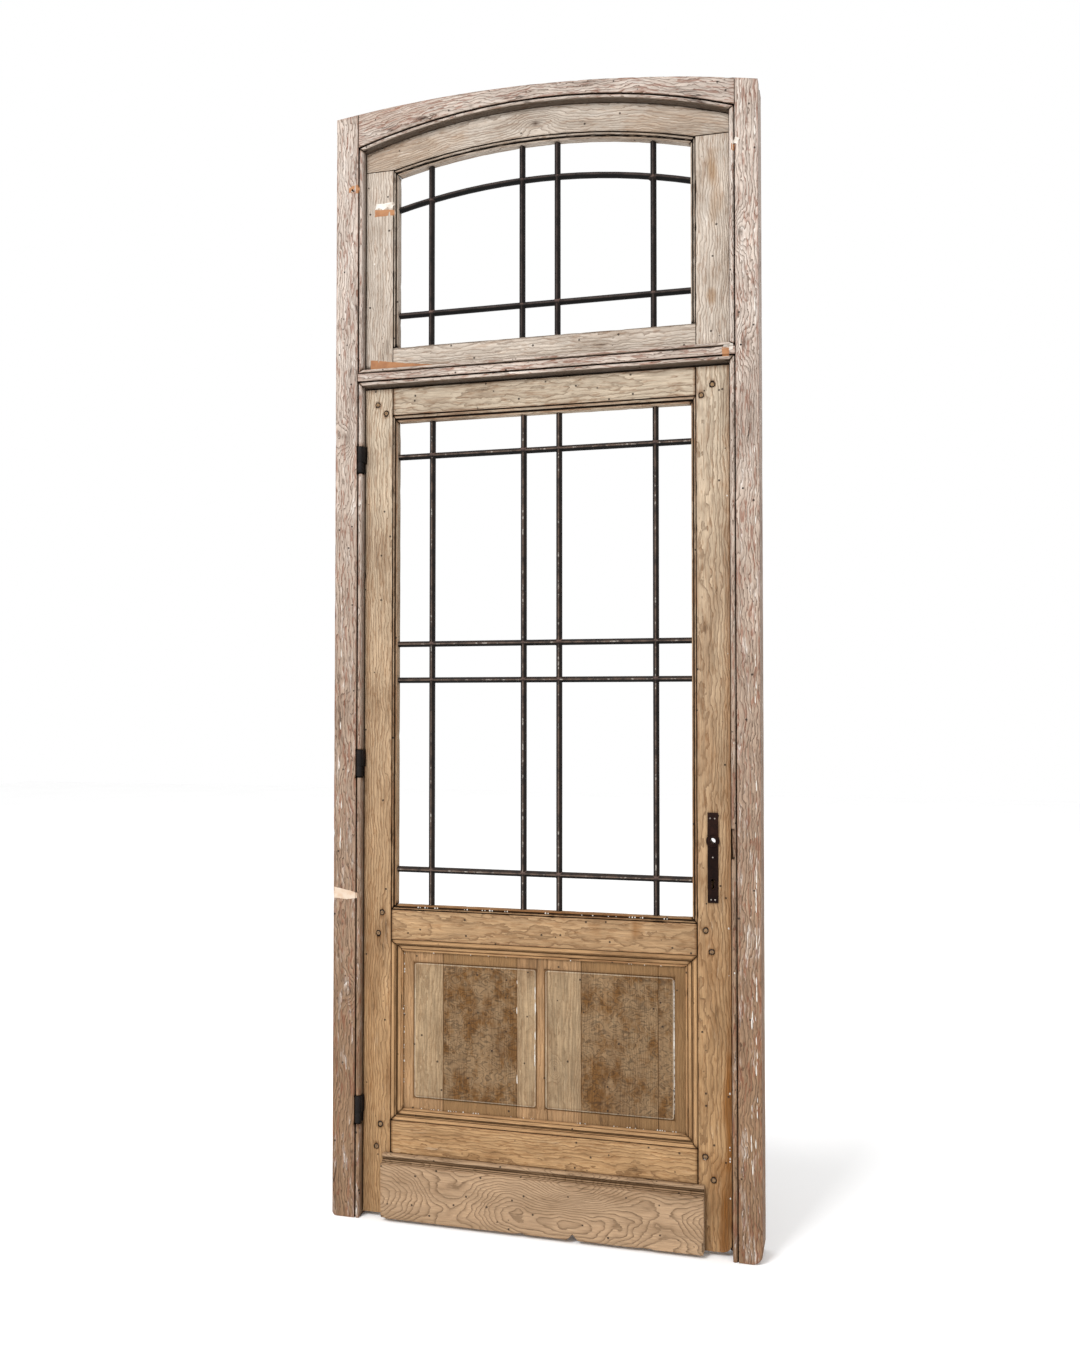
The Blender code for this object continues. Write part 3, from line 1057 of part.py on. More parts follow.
def make_hinges():
    """Three lift-off hinges: the jamb half carries the pin, the leaf half turns on it."""
    for name, middle in zip(HINGE_NAMES, HINGE_MIDDLES):
        low = middle - JAMB_KNUCKLE_HEIGHT
        profile = [(0.0, low - FINIAL_HEIGHT),
                   (FINIAL_WAIST * KNUCKLE_RADIUS, low - FINIAL_WAIST_DROP * FINIAL_HEIGHT),
                   (KNUCKLE_RADIUS, low), (KNUCKLE_RADIUS, middle), (PIN_RADIUS, middle),
                   (PIN_RADIUS, middle + PIN_HEIGHT), (0.0, middle + PIN_HEIGHT)]
        jamb_half = turned(name + "_hinge_jamb_half", profile, HINGE_AXIS_X, HINGE_AXIS_Y,
                           HINGE_SIDES)
        join(jamb_half, box(name + "_jamb_flap",
                            (OPENING_LEFT - FLAP_THICKNESS + 2 * FIT, HINGE_AXIS_Y, low),
                            (OPENING_LEFT + FIT, HINGE_AXIS_Y + FLAP_DEPTH, middle), cutter=True))
        dress(jamb_half, BLACK_IRON)

        start = middle + KNUCKLE_GAP
        top = middle + LEAF_KNUCKLE_HEIGHT
        bore = PIN_RADIUS + PIN_CLEARANCE
        bore_top = middle + PIN_HEIGHT + 2 * KNUCKLE_GAP
        profile = [(0.0, bore_top), (bore, bore_top), (bore, start), (KNUCKLE_RADIUS, start),
                   (KNUCKLE_RADIUS, top - KNUCKLE_ARRIS),
                   (KNUCKLE_RADIUS - KNUCKLE_ARRIS, top), (0.0, top)]
        leaf_half = turned(name + "_hinge_leaf_half", profile, HINGE_AXIS_X, HINGE_AXIS_Y,
                           HINGE_SIDES)
        flap_right = LEAF_LEFT + FLAP_THICKNESS - 2 * FIT
        join(leaf_half, box(name + "_leaf_flap",
                            (flap_right - FLAP_THICKNESS, HINGE_AXIS_Y, start),
                            (flap_right, HINGE_AXIS_Y + FLAP_DEPTH, top - KNUCKLE_ARRIS), cutter=True),
             box(name + "_leaf_neck",
                 (HINGE_AXIS_X + KNUCKLE_RADIUS / 2, HINGE_AXIS_Y, start),
                 (flap_right - FLAP_THICKNESS / 2, HINGE_AXIS_Y + NECK_THICKNESS, top - KNUCKLE_ARRIS),
                 cutter=True))
        dress(leaf_half, BLACK_IRON, moving=True)


def keyhole_outline():
    """Keyhole: a round eye over a narrower slot."""
    eye = KEYHOLE_WIDTH / 2
    slot = KEYHOLE_WIDTH * KEYHOLE_SLOT_SHARE
    eye_z = KEYHOLE_HEIGHT + KEYHOLE_LENGTH / 2 - eye
    foot_z = KEYHOLE_HEIGHT - KEYHOLE_LENGTH / 2
    shoulder = math.acos(slot / eye)
    outline = [(PLATE_X - slot, foot_z), (PLATE_X + slot, foot_z)]
    for step in range(EYE_STEPS + 1):
        angle = -shoulder + (math.pi + 2 * shoulder) * step / EYE_STEPS
        outline.append((PLATE_X + eye * math.cos(angle), eye_z + eye * math.sin(angle)))
    return outline


def lock_cutters(face_y):
    """Cutters behind the lock plate: the spindle's bore through the stile, and the keyhole."""
    bore = rod("spindle_bore", SPINDLE_BORE_RADIUS, (PLATE_X, face_y - REACH, BOSS_HEIGHT),
               LEAF_THICKNESS + 2 * REACH, "Y", ROUND_SIDES, cutter=True)
    keyhole = prism("stile_keyhole", keyhole_outline(), "Y", face_y - REACH,
                    face_y + KEYHOLE_DEPTH, cutter=True)
    return bore, keyhole


def make_lock_plate():
    """Iron plate with a round boss for the spindle, and a keyhole."""
    back = LEAF_FRONT - FIT
    plate = box("lock_plate", (PLATE_X - PLATE_WIDTH / 2, back - PLATE_THICKNESS,
                               BOSS_HEIGHT - PLATE_BELOW_BOSS),
                (PLATE_X + PLATE_WIDTH / 2, back, BOSS_HEIGHT + PLATE_ABOVE_BOSS))
    join(plate, rod("lock_boss", BOSS_RADIUS, (PLATE_X, back - BOSS_THICKNESS, BOSS_HEIGHT),
                    BOSS_THICKNESS, "Y", ROUND_SIDES, cutter=True))
    cut(plate, rod("spindle_hole", SPINDLE_HOLE_RADIUS, (PLATE_X, back - REACH, BOSS_HEIGHT),
                   2 * REACH, "Y", ROUND_SIDES, cutter=True))
    cut(plate, prism("plate_keyhole", keyhole_outline(), "Y", back - REACH, back + REACH,
                     cutter=True))
    return dress(plate, BROWN_IRON, moving=True)


def hang_leaf():
    """Parent the leaf's pieces to an empty that stands on the hinge axis."""
    axis = bpy.data.objects.new("leaf_hinge_axis", None)
    axis.location = (HINGE_AXIS_X, HINGE_AXIS_Y, 0.0)
    DOOR.objects.link(axis)
    for item in LEAF_PIECES:
        item.parent = axis
        item.location = (-HINGE_AXIS_X, -HINGE_AXIS_Y, 0.0)


make_frame()
make_light()
make_leaf_frame()
make_panel()
make_panel_mouldings()
make_weatherboard()
make_bars()
make_hinges()
make_lock_plate()
hang_leaf()
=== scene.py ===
"""Looks of an antique oak entrance door in its frame, under an arched light with iron bars.

Metres, in the part's own frame: the front looks along -Y, the hinges are on the -X side, and
the origin is the middle of the underside of the hinge jamb's foot.
"""

import itertools
import json
import logging
import math
from dataclasses import dataclass, field
from enum import Enum
from typing import Any, Dict, List, Optional, Sequence, Tuple

import bmesh
import bpy
import numpy as np
from mathutils import Matrix, Vector
from mathutils.bvhtree import BVHTree
from mathutils.kdtree import KDTree


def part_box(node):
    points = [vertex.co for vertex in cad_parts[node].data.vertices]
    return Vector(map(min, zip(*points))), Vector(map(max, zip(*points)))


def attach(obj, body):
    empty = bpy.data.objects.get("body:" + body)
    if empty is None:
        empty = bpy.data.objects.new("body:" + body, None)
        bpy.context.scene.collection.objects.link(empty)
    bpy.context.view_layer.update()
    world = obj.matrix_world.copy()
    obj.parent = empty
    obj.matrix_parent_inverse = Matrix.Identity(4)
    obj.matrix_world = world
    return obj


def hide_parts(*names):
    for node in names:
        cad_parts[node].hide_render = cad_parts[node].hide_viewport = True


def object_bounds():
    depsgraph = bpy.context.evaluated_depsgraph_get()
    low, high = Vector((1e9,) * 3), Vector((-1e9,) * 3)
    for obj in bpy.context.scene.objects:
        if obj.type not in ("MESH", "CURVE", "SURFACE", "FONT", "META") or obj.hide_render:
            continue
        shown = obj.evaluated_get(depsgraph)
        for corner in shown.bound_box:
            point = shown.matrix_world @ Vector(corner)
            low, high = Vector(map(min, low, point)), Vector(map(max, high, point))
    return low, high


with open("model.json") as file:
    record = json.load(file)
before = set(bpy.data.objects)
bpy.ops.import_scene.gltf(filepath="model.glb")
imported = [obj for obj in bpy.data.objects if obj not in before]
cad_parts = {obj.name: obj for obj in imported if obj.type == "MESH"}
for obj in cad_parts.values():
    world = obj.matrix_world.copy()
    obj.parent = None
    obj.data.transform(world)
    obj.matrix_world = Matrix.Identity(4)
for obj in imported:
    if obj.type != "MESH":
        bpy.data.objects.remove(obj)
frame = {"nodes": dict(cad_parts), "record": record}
CAD_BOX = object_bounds()
LOG = logging.getLogger("door")

Point = Tuple[float, float, float]
Flat = Tuple[float, float]
Outline = Sequence[Flat]

MM = 0.001

# Reach of the dirt and painted shade round a seam in a face, and inside a gap between pieces
SEAM_FRONT = 1.5 * MM
SEAM_DEEP = 2.5 * MM
SEAM_JAMB = 8.0 * MM

# Spacing of the points that stand for an edge, finer than any dirt line
EDGE_SPACING = 0.8 * MM

# Turn of the faces, in radians, past which an edge is an arris or an inner corner
ARRIS_TURN = 0.70
CORNER_TURN = 0.35

# Colours were read from a brightly lit photograph; this share turns them into surface colours
LIGHT_SHARE = 0.66


class Run(Enum):
    """Which way a timber's fibres lie."""

    UPRIGHT = "upright"
    LEVEL = "level"
    ARCHED = "arched"


class Body(Enum):
    """The two moving parts of the door."""

    FRAME = "frame"
    LEAF = "leaf"


@dataclass(frozen=True)
class Places:
    """Lines of the door that the looks are set out from, in metres."""

    bar_front: float = -0.020
    arch_x: float = 0.530
    arch_radius: float = 1.745
    plate_x: float = 1.008
    boss_z: float = 1.057
    keyhole_z: float = 0.946


AT = Places()


# The incised fields of the panel, from left to right edge
INCISED_FIELDS = ((0.185, 0.533), (0.557, 0.905))

# Kinds of shader node, and the settings and output of a mix of two colours
ATTRIBUTE = "ShaderNodeAttribute"
BUMP = "ShaderNodeBump"
COORDINATES = "ShaderNodeTexCoord"
MATH = "ShaderNodeMath"
MIX = "ShaderNodeMix"
NOISE = "ShaderNodeTexNoise"
RAMP = "ShaderNodeValToRGB"
RANGE = "ShaderNodeMapRange"
SEPARATE = "ShaderNodeSeparateXYZ"
VECTOR = "ShaderNodeVectorMath"
COLOUR = {"out": 2, "data_type": "RGBA"}


# Small helpers for colours, nodes, noise and meshes

def tint(code: str) -> Tuple[float, float, float, float]:
    """Turn an sRGB hex colour into linear red, green, blue and an alpha of one.

    Args:
        code: Six hex digits, as in "C8B6A5".

    Returns:
        The linear colour that Blender's sockets take.
    """
    levels = [int(code[place:place + 2], 16) / 255 for place in (0, 2, 4)]
    linear = [v / 12.92 if v <= 0.04045 else ((v + 0.055) / 1.055) ** 2.4 for v in levels]
    red, green, blue = (LIGHT_SHARE * v for v in linear)
    return red, green, blue, 1.0


def add(tree: bpy.types.NodeTree, kind: str, inputs: Optional[Dict[Any, Any]] = None,
        out: Any = 0, **settings: Any) -> Any:
    """Add a node, give it its settings, and fill or link its inputs.

    Args:
        tree: The shader or geometry tree to add to.
        kind: The node's type.
        inputs: Values or sockets by the input's name or number.
        out: Name or number of the output wanted, or None for the node itself.
        **settings: Values of the node's own settings; stops gives a colour ramp's stops.

    Returns:
        The output socket, or the node where out is None.
    """
    node = tree.nodes.new(kind)
    stops = settings.pop("stops", None)
    for name, value in settings.items():
        setattr(node, name, value)
    if stops:
        ramp = node.color_ramp.elements
        while len(ramp) < len(stops):
            ramp.new(0.5)
        for stop, (place, level) in zip(ramp, stops):
            stop.position = place
            stop.color = (level, level, level, 1.0)
    for name, value in (inputs or {}).items():
        socket = node.inputs[name]
        if isinstance(value, bpy.types.NodeSocket):
            tree.links.new(value, socket)
        else:
            socket.default_value = value
    return node if out is None else node.outputs[out]


def start_material(name: str) -> Tuple[bpy.types.Material, bpy.types.NodeTree, Any]:
    """Start a node material.

    Args:
        name: The finish's name.

    Returns:
        The material, its tree and its shader node.
    """
    material = bpy.data.materials.new(name)
    material.use_nodes = True
    tree = material.node_tree
    return material, tree, tree.nodes["Principled BSDF"]


def grain_noise(tree: bpy.types.NodeTree, grain: Any, pitch: Point, **inputs: float) -> Any:
    """Noise drawn out along the grain.

    Args:
        tree: The material's tree.
        grain: Grain coordinates.
        pitch: Cells to the metre across, into and along the grain.
        **inputs: The noise's own inputs, such as Detail.

    Returns:
        The noise's socket.
    """
    drawn_out = add(tree, VECTOR, {0: grain, 1: pitch}, operation="MULTIPLY")
    return add(tree, NOISE, {"Vector": drawn_out, "Scale": 1.0, **inputs})


def lattice_noise(points: np.ndarray, seed: int) -> np.ndarray:
    """Smooth noise from a hashed lattice, the same on each run.

    Args:
        points: Places, one row each, with one lattice cell to the unit.
        seed: Number that picks the pattern.

    Returns:
        A value from -1 to 1 for each place.
    """
    cell = np.floor(points).astype(np.int64)
    part = points - cell
    part = part * part * (3 - 2 * part)
    total = np.zeros(len(points))
    for corner in itertools.product((0, 1), repeat=3):
        at = cell + np.array(corner)
        mixed = (at[:, 0] * 73856093) ^ (at[:, 1] * 19349663) ^ (at[:, 2] * 83492791)
        mixed = (mixed ^ (seed * 9301 + 49297)) & 0xFFFFFFFF
        mixed = ((mixed ^ (mixed >> 15)) * 0x2C1B3C6D) & 0xFFFFFFFF
        mixed = ((mixed ^ (mixed >> 12)) * 0x297A2D39) & 0xFFFFFFFF
        value = (mixed ^ (mixed >> 15)) / 2147483647.5 - 1
        weight = np.prod(np.where(np.array(corner), part, 1 - part), axis=1)
        total += value * weight
    return total


def merged_copy(node: str) -> bmesh.types.BMesh:
    """Copy a solid's mesh with its loose triangles merged back into whole faces."""
    work = bmesh.new()
    work.from_mesh(frame["nodes"][node].data)
    bmesh.ops.remove_doubles(work, verts=work.verts, dist=0.000002)
    bmesh.ops.dissolve_limit(work, angle_limit=math.radians(0.4), verts=work.verts,
                             edges=work.edges)
    return work


def cut_square(work: bmesh.types.BMesh, axis: int, level: float, weld: float) -> None:
    """Cut every face that crosses a plane square to one axis.

    Args:
        work: The mesh, which is changed.
        axis: Number of the axis.
        level: Where the plane crosses it.
        weld: Distance within which a corner counts as on the plane.
    """
    place = Vector((0.0, 0.0, 0.0))
    place[axis] = level
    normal = Vector((0.0, 0.0, 0.0))
    normal[axis] = 1.0
    geometry = list(work.verts) + list(work.edges) + list(work.faces)
    bmesh.ops.bisect_plane(work, geom=geometry, dist=weld, plane_co=place, plane_no=normal)


def skin(work: bmesh.types.BMesh, rings: List[List[Any]], looped: bool = False) -> None:
    """Join rings of corners by faces.

    Args:
        work: The mesh that holds the corners.
        rings: The rings, each with as many corners as the others.
        looped: True joins the last ring to the first, False caps them both.
    """
    following = rings[1:] + (rings[:1] if looped else [])
    for lower, upper in zip(rings, following):
        for k in range(len(lower)):
            after = (k + 1) % len(lower)
            work.faces.new((lower[k], lower[after], upper[after], upper[k]))
    if not looped:
        work.faces.new(rings[-1])
        work.faces.new(rings[0][::-1])
    bmesh.ops.recalc_face_normals(work, faces=work.faces)


def turned(profile: Sequence[Flat], sides: int, mark: str = "") -> bmesh.types.BMesh:
    """Turn a profile into a closed shape that looks along -Y.

    Args:
        profile: Radius and rise of each ring.
        sides: Number of sides.
        mark: Name of the layer that keeps each corner's radius, if one is wanted.

    Returns:
        The shape.
    """
    work = bmesh.new()
    layer = work.verts.layers.float.new(mark) if mark else None
    rings = []
    for radius, rise in profile:
        ring = []
        for k in range(sides):
            angle = 2 * math.pi * k / sides
            corner = work.verts.new((radius * math.cos(angle), -rise, radius * math.sin(angle)))
            if mark:
                corner[layer] = radius
            ring.append(corner)
        rings.append(ring)
    skin(work, rings)
    return work


@dataclass
class Neighbours:
    """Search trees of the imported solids, for the dirt that gathers where two pieces meet."""

    trees: Dict[str, BVHTree] = field(default_factory=dict)
    boxes: Dict[str, Tuple[np.ndarray, np.ndarray]] = field(default_factory=dict)

    def tree(self, node: str) -> BVHTree:
        """Search tree of a node's solid, built once."""
        if node not in self.trees:
            mesh = frame["nodes"][node].data
            self.trees[node] = BVHTree.FromPolygons([v.co for v in mesh.vertices],
                                                    [tuple(p.vertices) for p in mesh.polygons])
        return self.trees[node]

    def box(self, node: str) -> Tuple[np.ndarray, np.ndarray]:
        """Lowest and highest corner of a node's solid, measured once."""
        if node not in self.boxes:
            low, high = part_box(node)
            self.boxes[node] = (np.array(low), np.array(high))
        return self.boxes[node]

    def gaps(self, node: str, places: np.ndarray, reach: float) -> np.ndarray:
        """Distance from each place to the nearest other piece, no further than the reach.

        Args:
            node: The piece that the places lie on, which is left out.
            places: Places, one row each.
            reach: Largest distance of interest.

        Returns:
            The distances, in metres.
        """
        found = np.full(len(places), reach)
        for other in frame["nodes"]:
            if other == node or other.startswith("peg_"):
                continue
            low, high = self.box(other)
            near = np.all((places > low - reach) & (places < high + reach), axis=1)
            for number in np.flatnonzero(near):
                hit = self.tree(other).find_nearest(places[number], reach)
                if hit[3] is not None:
                    found[number] = min(found[number], hit[3])
        return found

    def front(self, x: float, z: float) -> float:
        """Depth of the foremost face at a place seen from the front.

        Args:
            x: Place across the door.
            z: Height.

        Returns:
            The face's Y.
        """
        foremost = CAD_BOX[1][1]
        for node in frame["nodes"]:
            low, high = self.box(node)
            if node.startswith("peg_") or not (low[0] <= x <= high[0]
                                               and low[2] <= z <= high[2]):
                continue
            hit = self.tree(node).ray_cast(Vector((x, -1.0, z)), Vector((0.0, 1.0, 0.0)))
            if hit[0] is not None:
                foremost = min(foremost, hit[0].y)
        return foremost


NEIGHBOURS = Neighbours()


def body_of(node: str) -> str:
    """Name of the body that a node belongs to."""
    for body, nodes in frame["record"]["behaviour"]["bodies"].items():
        if node in nodes:
            return body
    raise KeyError(node)


def slot_of(node: str) -> str:
    """Material slot that the record gives a node."""
    slots = {part["node"]: part["material_slot"] for part in frame["record"]["subparts"]}
    return slots[node]


def settle(item: bpy.types.Object, material: bpy.types.Material, body: str, slot: str,
           *nodes: str) -> bpy.types.Object:
    """Dress a finished piece, hang it on its body and hide the nodes it stands for.

    Args:
        item: The piece, with its place in its mesh.
        material: Its finish.
        body: The body that it rides on.
        slot: The record's material slot; not used.
        *nodes: CAD nodes that it replaces.

    Returns:
        The same piece.
    """
    item.data.materials.clear()
    item.data.materials.append(material)
    if nodes:
        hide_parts(*nodes)
    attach(item, body)
    LOG.info("%s: %d faces on %s", item.name, len(item.data.polygons), body)
    return item


def new_object(name: str, work: bmesh.types.BMesh, sharp: float = 35.0) -> bpy.types.Object:
    """Turn a bmesh into a smooth-shaded object with its sharp edges kept.

    Args:
        name: The object's name.
        work: The mesh, which is freed.
        sharp: Angle in degrees past which an edge stays sharp.

    Returns:
        The new object, linked to the scene.
    """
    mesh = bpy.data.meshes.new(name)
    work.to_mesh(mesh)
    work.free()
    mesh.polygons.foreach_set("use_smooth", [True] * len(mesh.polygons))
    mesh.set_sharp_from_angle(angle=math.radians(sharp))
    item = bpy.data.objects.new(name, mesh)
    bpy.context.scene.collection.objects.link(item)
    return item


# Finishes

@dataclass(frozen=True)
class OakFinish:
    """Sawn European oak, weathered: each growth ring gives a pale ridge and a dark pored line."""

    name: str
    late_low: str
    late_high: str
    early_low: str
    early_high: str
    bloom: str
    # The near black of the deepest hollows and gaps: painted shade with dirt
    deep_shade_and_dirt: str
    arris: str
    # The brown of the hollows and gaps: dirt with painted shade
    soil: str = "6E5338"
    heart: str = "4A3424"
    pit: str = "35261C"
    # Colours of the incised line: painted shade with dirt in its bottom, and a painted highlight
    # on its lip
    groove_shade_and_dirt: str = "5E4426"
    lip_highlight: str = "E6D6BC"
    ring: float = 7.0 * MM
    line_strength: float = 0.55
    bloom_strength: float = 0.45
    bloom_share: float = 0.5
    arris_strength: float = 0.5
    low_z: float = 0.3
    high_z: float = 2.4
    fade: float = 1.5
    stain_and_shade: str = "8A5A2C"
    stain_share: float = 0.25
    dark_fields: Tuple[Tuple[float, float], ...] = ()
    field_height: Tuple[float, float] = (0.329, 0.698)
    field_corner: float = 9.0 * MM
    field_back: float = -8.0 * MM
    field_tone: str = "7E6848"
    field_amber: str = "6E4716"
    fleck_depth: float = 1.0
    bump: float = 1.5 * MM
    ripple: float = 6.0 * MM
    crack_share: float = 0.5
    streak: str = "A2674A"
    streak_share: float = 0.0
    contrast: float = 1.0

    def build(self) -> bpy.types.Material:
        """Build the node material.

        Returns:
            The material, which reads the timber's grain and the values kept on its points.
        """
        material, tree, shader = start_material(self.name)
        grain = add(tree, ATTRIBUTE, out="Vector", attribute_name="grain")
        radius, arris, painted_shade_and_dirt, tone, knot, local_stain_and_shade = (
            add(tree, ATTRIBUTE, out="Fac", attribute_name=name)
            for name in ("radius", "arris", "painted_shade_and_dirt", "tone", "knot", "local_stain_and_shade"))
        place = add(tree, COORDINATES, out="Object")
        split = add(tree, SEPARATE, {0: place}, out=None)

        # Fibres 3 mm across and 70 mm along, ripples in the rings, and slow blotches, all
        # coarser than real ones so that they show
        fibre = grain_noise(tree, grain, (330.0, 330.0, 14.0), Detail=3.0, Roughness=0.6)
        ripple = grain_noise(tree, grain, (110.0, 110.0, 34.0), Detail=2.0)
        blotch = grain_noise(tree, grain, (15.0, 15.0, 4.5), Detail=4.0, Roughness=0.62)

        # Growth rings from the warped distance to the heart of the log
        trembled = add(tree, MATH, {0: ripple, 1: self.ripple, 2: radius},
                       operation="MULTIPLY_ADD")
        turns = add(tree, MATH, {0: trembled, 1: self.ring}, operation="DIVIDE")
        ring = add(tree, MATH, {0: turns}, operation="FRACT")
        line = add(tree, RAMP, {0: ring}, stops=((0.0, 0.0), (0.42, 0.06), (0.74, 0.45),
                                                 (0.90, 1.0), (0.97, 0.85), (1.0, 0.0)))
        ridge = add(tree, RAMP, {0: ring}, stops=((0.0, 0.6), (0.10, 1.0), (0.34, 0.25),
                                                  (0.6, 0.0), (1.0, 0.0)))
        broken = add(tree, RANGE, {0: fibre, 1: 0.30, 2: 0.62, 3: 0.25, 4: 1.0})
        line_now = add(tree, MATH, {0: line, 1: broken}, operation="MULTIPLY")
        line_mask = add(tree, MATH, {0: line_now, 1: self.line_strength}, operation="MULTIPLY")

        # Paler towards the top, where rain and sun reach it
        rise = add(tree, RANGE, {0: split.outputs["Z"], 1: self.low_z, 2: self.high_z})
        height = add(tree, MATH, {0: rise, 1: self.fade}, operation="POWER")
        late = add(tree, MIX, {0: height, 6: tint(self.late_low), 7: tint(self.late_high)},
                   **COLOUR)
        early = add(tree, MIX, {0: height, 6: tint(self.early_low), 7: tint(self.early_high)},
                    **COLOUR)
        if self.dark_fields:
            late = self.darken_fields(tree, place, late, blotch, grain)
        lined = add(tree, MIX, {0: line_mask, 6: late, 7: early}, **COLOUR)

        # Stains of old varnish in large soft patches, and the pieces' own local stains, one of
        # them a band of painted shade
        stain_mask = add(tree, RANGE, {0: blotch, 1: 0.50, 2: 0.74, 3: 0.0, 4: self.stain_share})
        ragged = add(tree, RANGE, {0: fibre, 1: 0.3, 2: 0.6, 3: 0.7, 4: 1.0})
        local = add(tree, MATH, {0: local_stain_and_shade, 1: ragged}, operation="MULTIPLY")
        all_stain_and_shade = add(tree, MATH, {0: stain_mask, 1: local}, operation="MAXIMUM")
        stained_and_shaded = add(tree, MIX, {0: all_stain_and_shade, 6: lined, 7: tint(self.stain_and_shade)}, **COLOUR)

        # Reddish threads of old paint, drawn out along the grain
        if self.streak_share > 0.0:
            thread = grain_noise(tree, grain, (150.0, 150.0, 26.0), Detail=4.0, Distortion=0.7)
            thread_mask = add(tree, RANGE, {0: thread, 1: 0.54, 2: 0.62, 3: 0.0,
                                            4: self.streak_share})
            stained_and_shaded = add(tree, MIX, {0: thread_mask, 6: stained_and_shaded, 7: tint(self.streak)}, **COLOUR)

        # Limewash, most of it left on the ridges
        chalk = grain_noise(tree, grain, (62.0, 62.0, 11.0), Detail=5.0, Roughness=0.7)
        chalk_low = 0.66 - 0.22 * self.bloom_share
        chalk_mask = add(tree, RANGE, {0: chalk, 1: chalk_low, 2: chalk_low + 0.14})
        ridge_chalk = add(tree, MATH, {0: ridge, 1: 0.75, 2: 0.25}, operation="MULTIPLY_ADD")
        chalked = add(tree, MATH, {0: chalk_mask, 1: ridge_chalk}, operation="MULTIPLY")
        bloom_mask = add(tree, MATH, {0: chalked, 1: self.bloom_strength}, operation="MULTIPLY")
        bloomed = add(tree, MIX, {0: bloom_mask, 6: stained_and_shaded, 7: tint(self.bloom)}, **COLOUR)

        # Slow light and dark, then fibre by fibre, and the piece's own tone
        swing = 0.14 * self.contrast
        slow = add(tree, RANGE, {0: blotch, 1: 0.25, 2: 0.75, 3: 1.0 + swing, 4: 1.0 - swing})
        quick = add(tree, RANGE, {0: fibre, 1: 0.28, 2: 0.72, 3: 1.0 - 1.25 * swing,
                                  4: 1.0 + 1.1 * swing})
        shade = add(tree, MATH, {0: slow, 1: quick}, operation="MULTIPLY")
        toned = add(tree, MATH, {0: shade, 1: tone}, operation="MULTIPLY")
        varied = add(tree, VECTOR, {0: bloomed, 3: toned}, operation="SCALE")

        # Worn arrises, then dirt and painted shade in the hollows, under the pieces and in the
        # gaps between them, then dark knots
        worn_at = add(tree, RANGE, {0: chalk, 1: 0.40, 2: 0.58})
        worn = add(tree, MATH, {0: arris, 1: worn_at}, operation="MULTIPLY")
        worn_mask = add(tree, MATH, {0: worn, 1: self.arris_strength}, operation="MULTIPLY")
        rubbed = add(tree, MIX, {0: worn_mask, 6: varied, 7: tint(self.arris)}, **COLOUR)
        grime_and_shade = add(tree, MATH, {0: painted_shade_and_dirt, 1: 0.75}, operation="MULTIPLY")
        soiled_and_shaded = add(tree, MIX, {0: grime_and_shade, 6: rubbed, 7: tint(self.soil)}, **COLOUR)
        # The deepest hollows and gaps go near black: painted shade with dirt
        black = add(tree, RANGE, {0: painted_shade_and_dirt, 1: 0.62, 2: 0.95})
        grimed_and_shaded = add(tree, MIX, {0: black, 6: soiled_and_shaded, 7: tint(self.deep_shade_and_dirt)}, **COLOUR)
        knotted = add(tree, MIX, {0: knot, 6: grimed_and_shaded, 7: tint(self.heart)}, **COLOUR)

        # Drying cracks: long thin lines where a slow noise crosses its middle
        crack = grain_noise(tree, grain, (46.0, 46.0, 2.6), Detail=2.0)
        offset = add(tree, MATH, {0: crack, 1: 0.5}, operation="SUBTRACT")
        near = add(tree, MATH, {0: offset}, operation="ABSOLUTE")
        thin = add(tree, RANGE, {0: near, 1: 0.003, 2: 0.009, 3: 1.0, 4: 0.0})
        seldom = add(tree, RANGE, {0: blotch, 1: 0.58, 2: 0.66, 3: 0.0, 4: self.crack_share})
        split_mask = add(tree, MATH, {0: thin, 1: seldom}, operation="MULTIPLY")

        # Nail and worm holes, up to 6 mm across, drawn larger than real so that they show
        cells = add(tree, "ShaderNodeTexVoronoi", {"Vector": place, "Scale": 27.0}, out="Distance")
        hole = add(tree, RANGE, {0: cells, 1: 0.055, 2: 0.085, 3: 1.0, 4: 0.0})
        pits = add(tree, MATH, {0: split_mask, 1: hole}, operation="MAXIMUM")
        pit_mask = add(tree, MATH, {0: pits, 1: 0.85}, operation="MULTIPLY")
        pitted = add(tree, MIX, {0: pit_mask, 6: knotted, 7: tint(self.pit)}, **COLOUR)
        tree.links.new(pitted, shader.inputs["Base Color"])

        # Relief: ridges stand proud of the pored lines, cracks and holes are deep
        proud = add(tree, MATH, {0: line_now, 1: -0.6, 2: fibre}, operation="MULTIPLY_ADD")
        sunk = add(tree, MATH, {0: pits, 1: -1.2, 2: proud}, operation="MULTIPLY_ADD")
        bump = add(tree, BUMP, {"Strength": 1.0, "Distance": self.bump, "Height": sunk},
                   out="Normal")
        tree.links.new(bump, shader.inputs["Normal"])
        rough = add(tree, RANGE, {0: fibre, 1: 0.3, 2: 0.7, 3: 0.92, 4: 0.74})
        tree.links.new(rough, shader.inputs["Roughness"])
        dull = add(tree, RANGE, {0: painted_shade_and_dirt, 1: 0.3, 2: 0.8, 3: 0.30, 4: 0.04})
        tree.links.new(dull, shader.inputs["Specular IOR Level"])
        return material

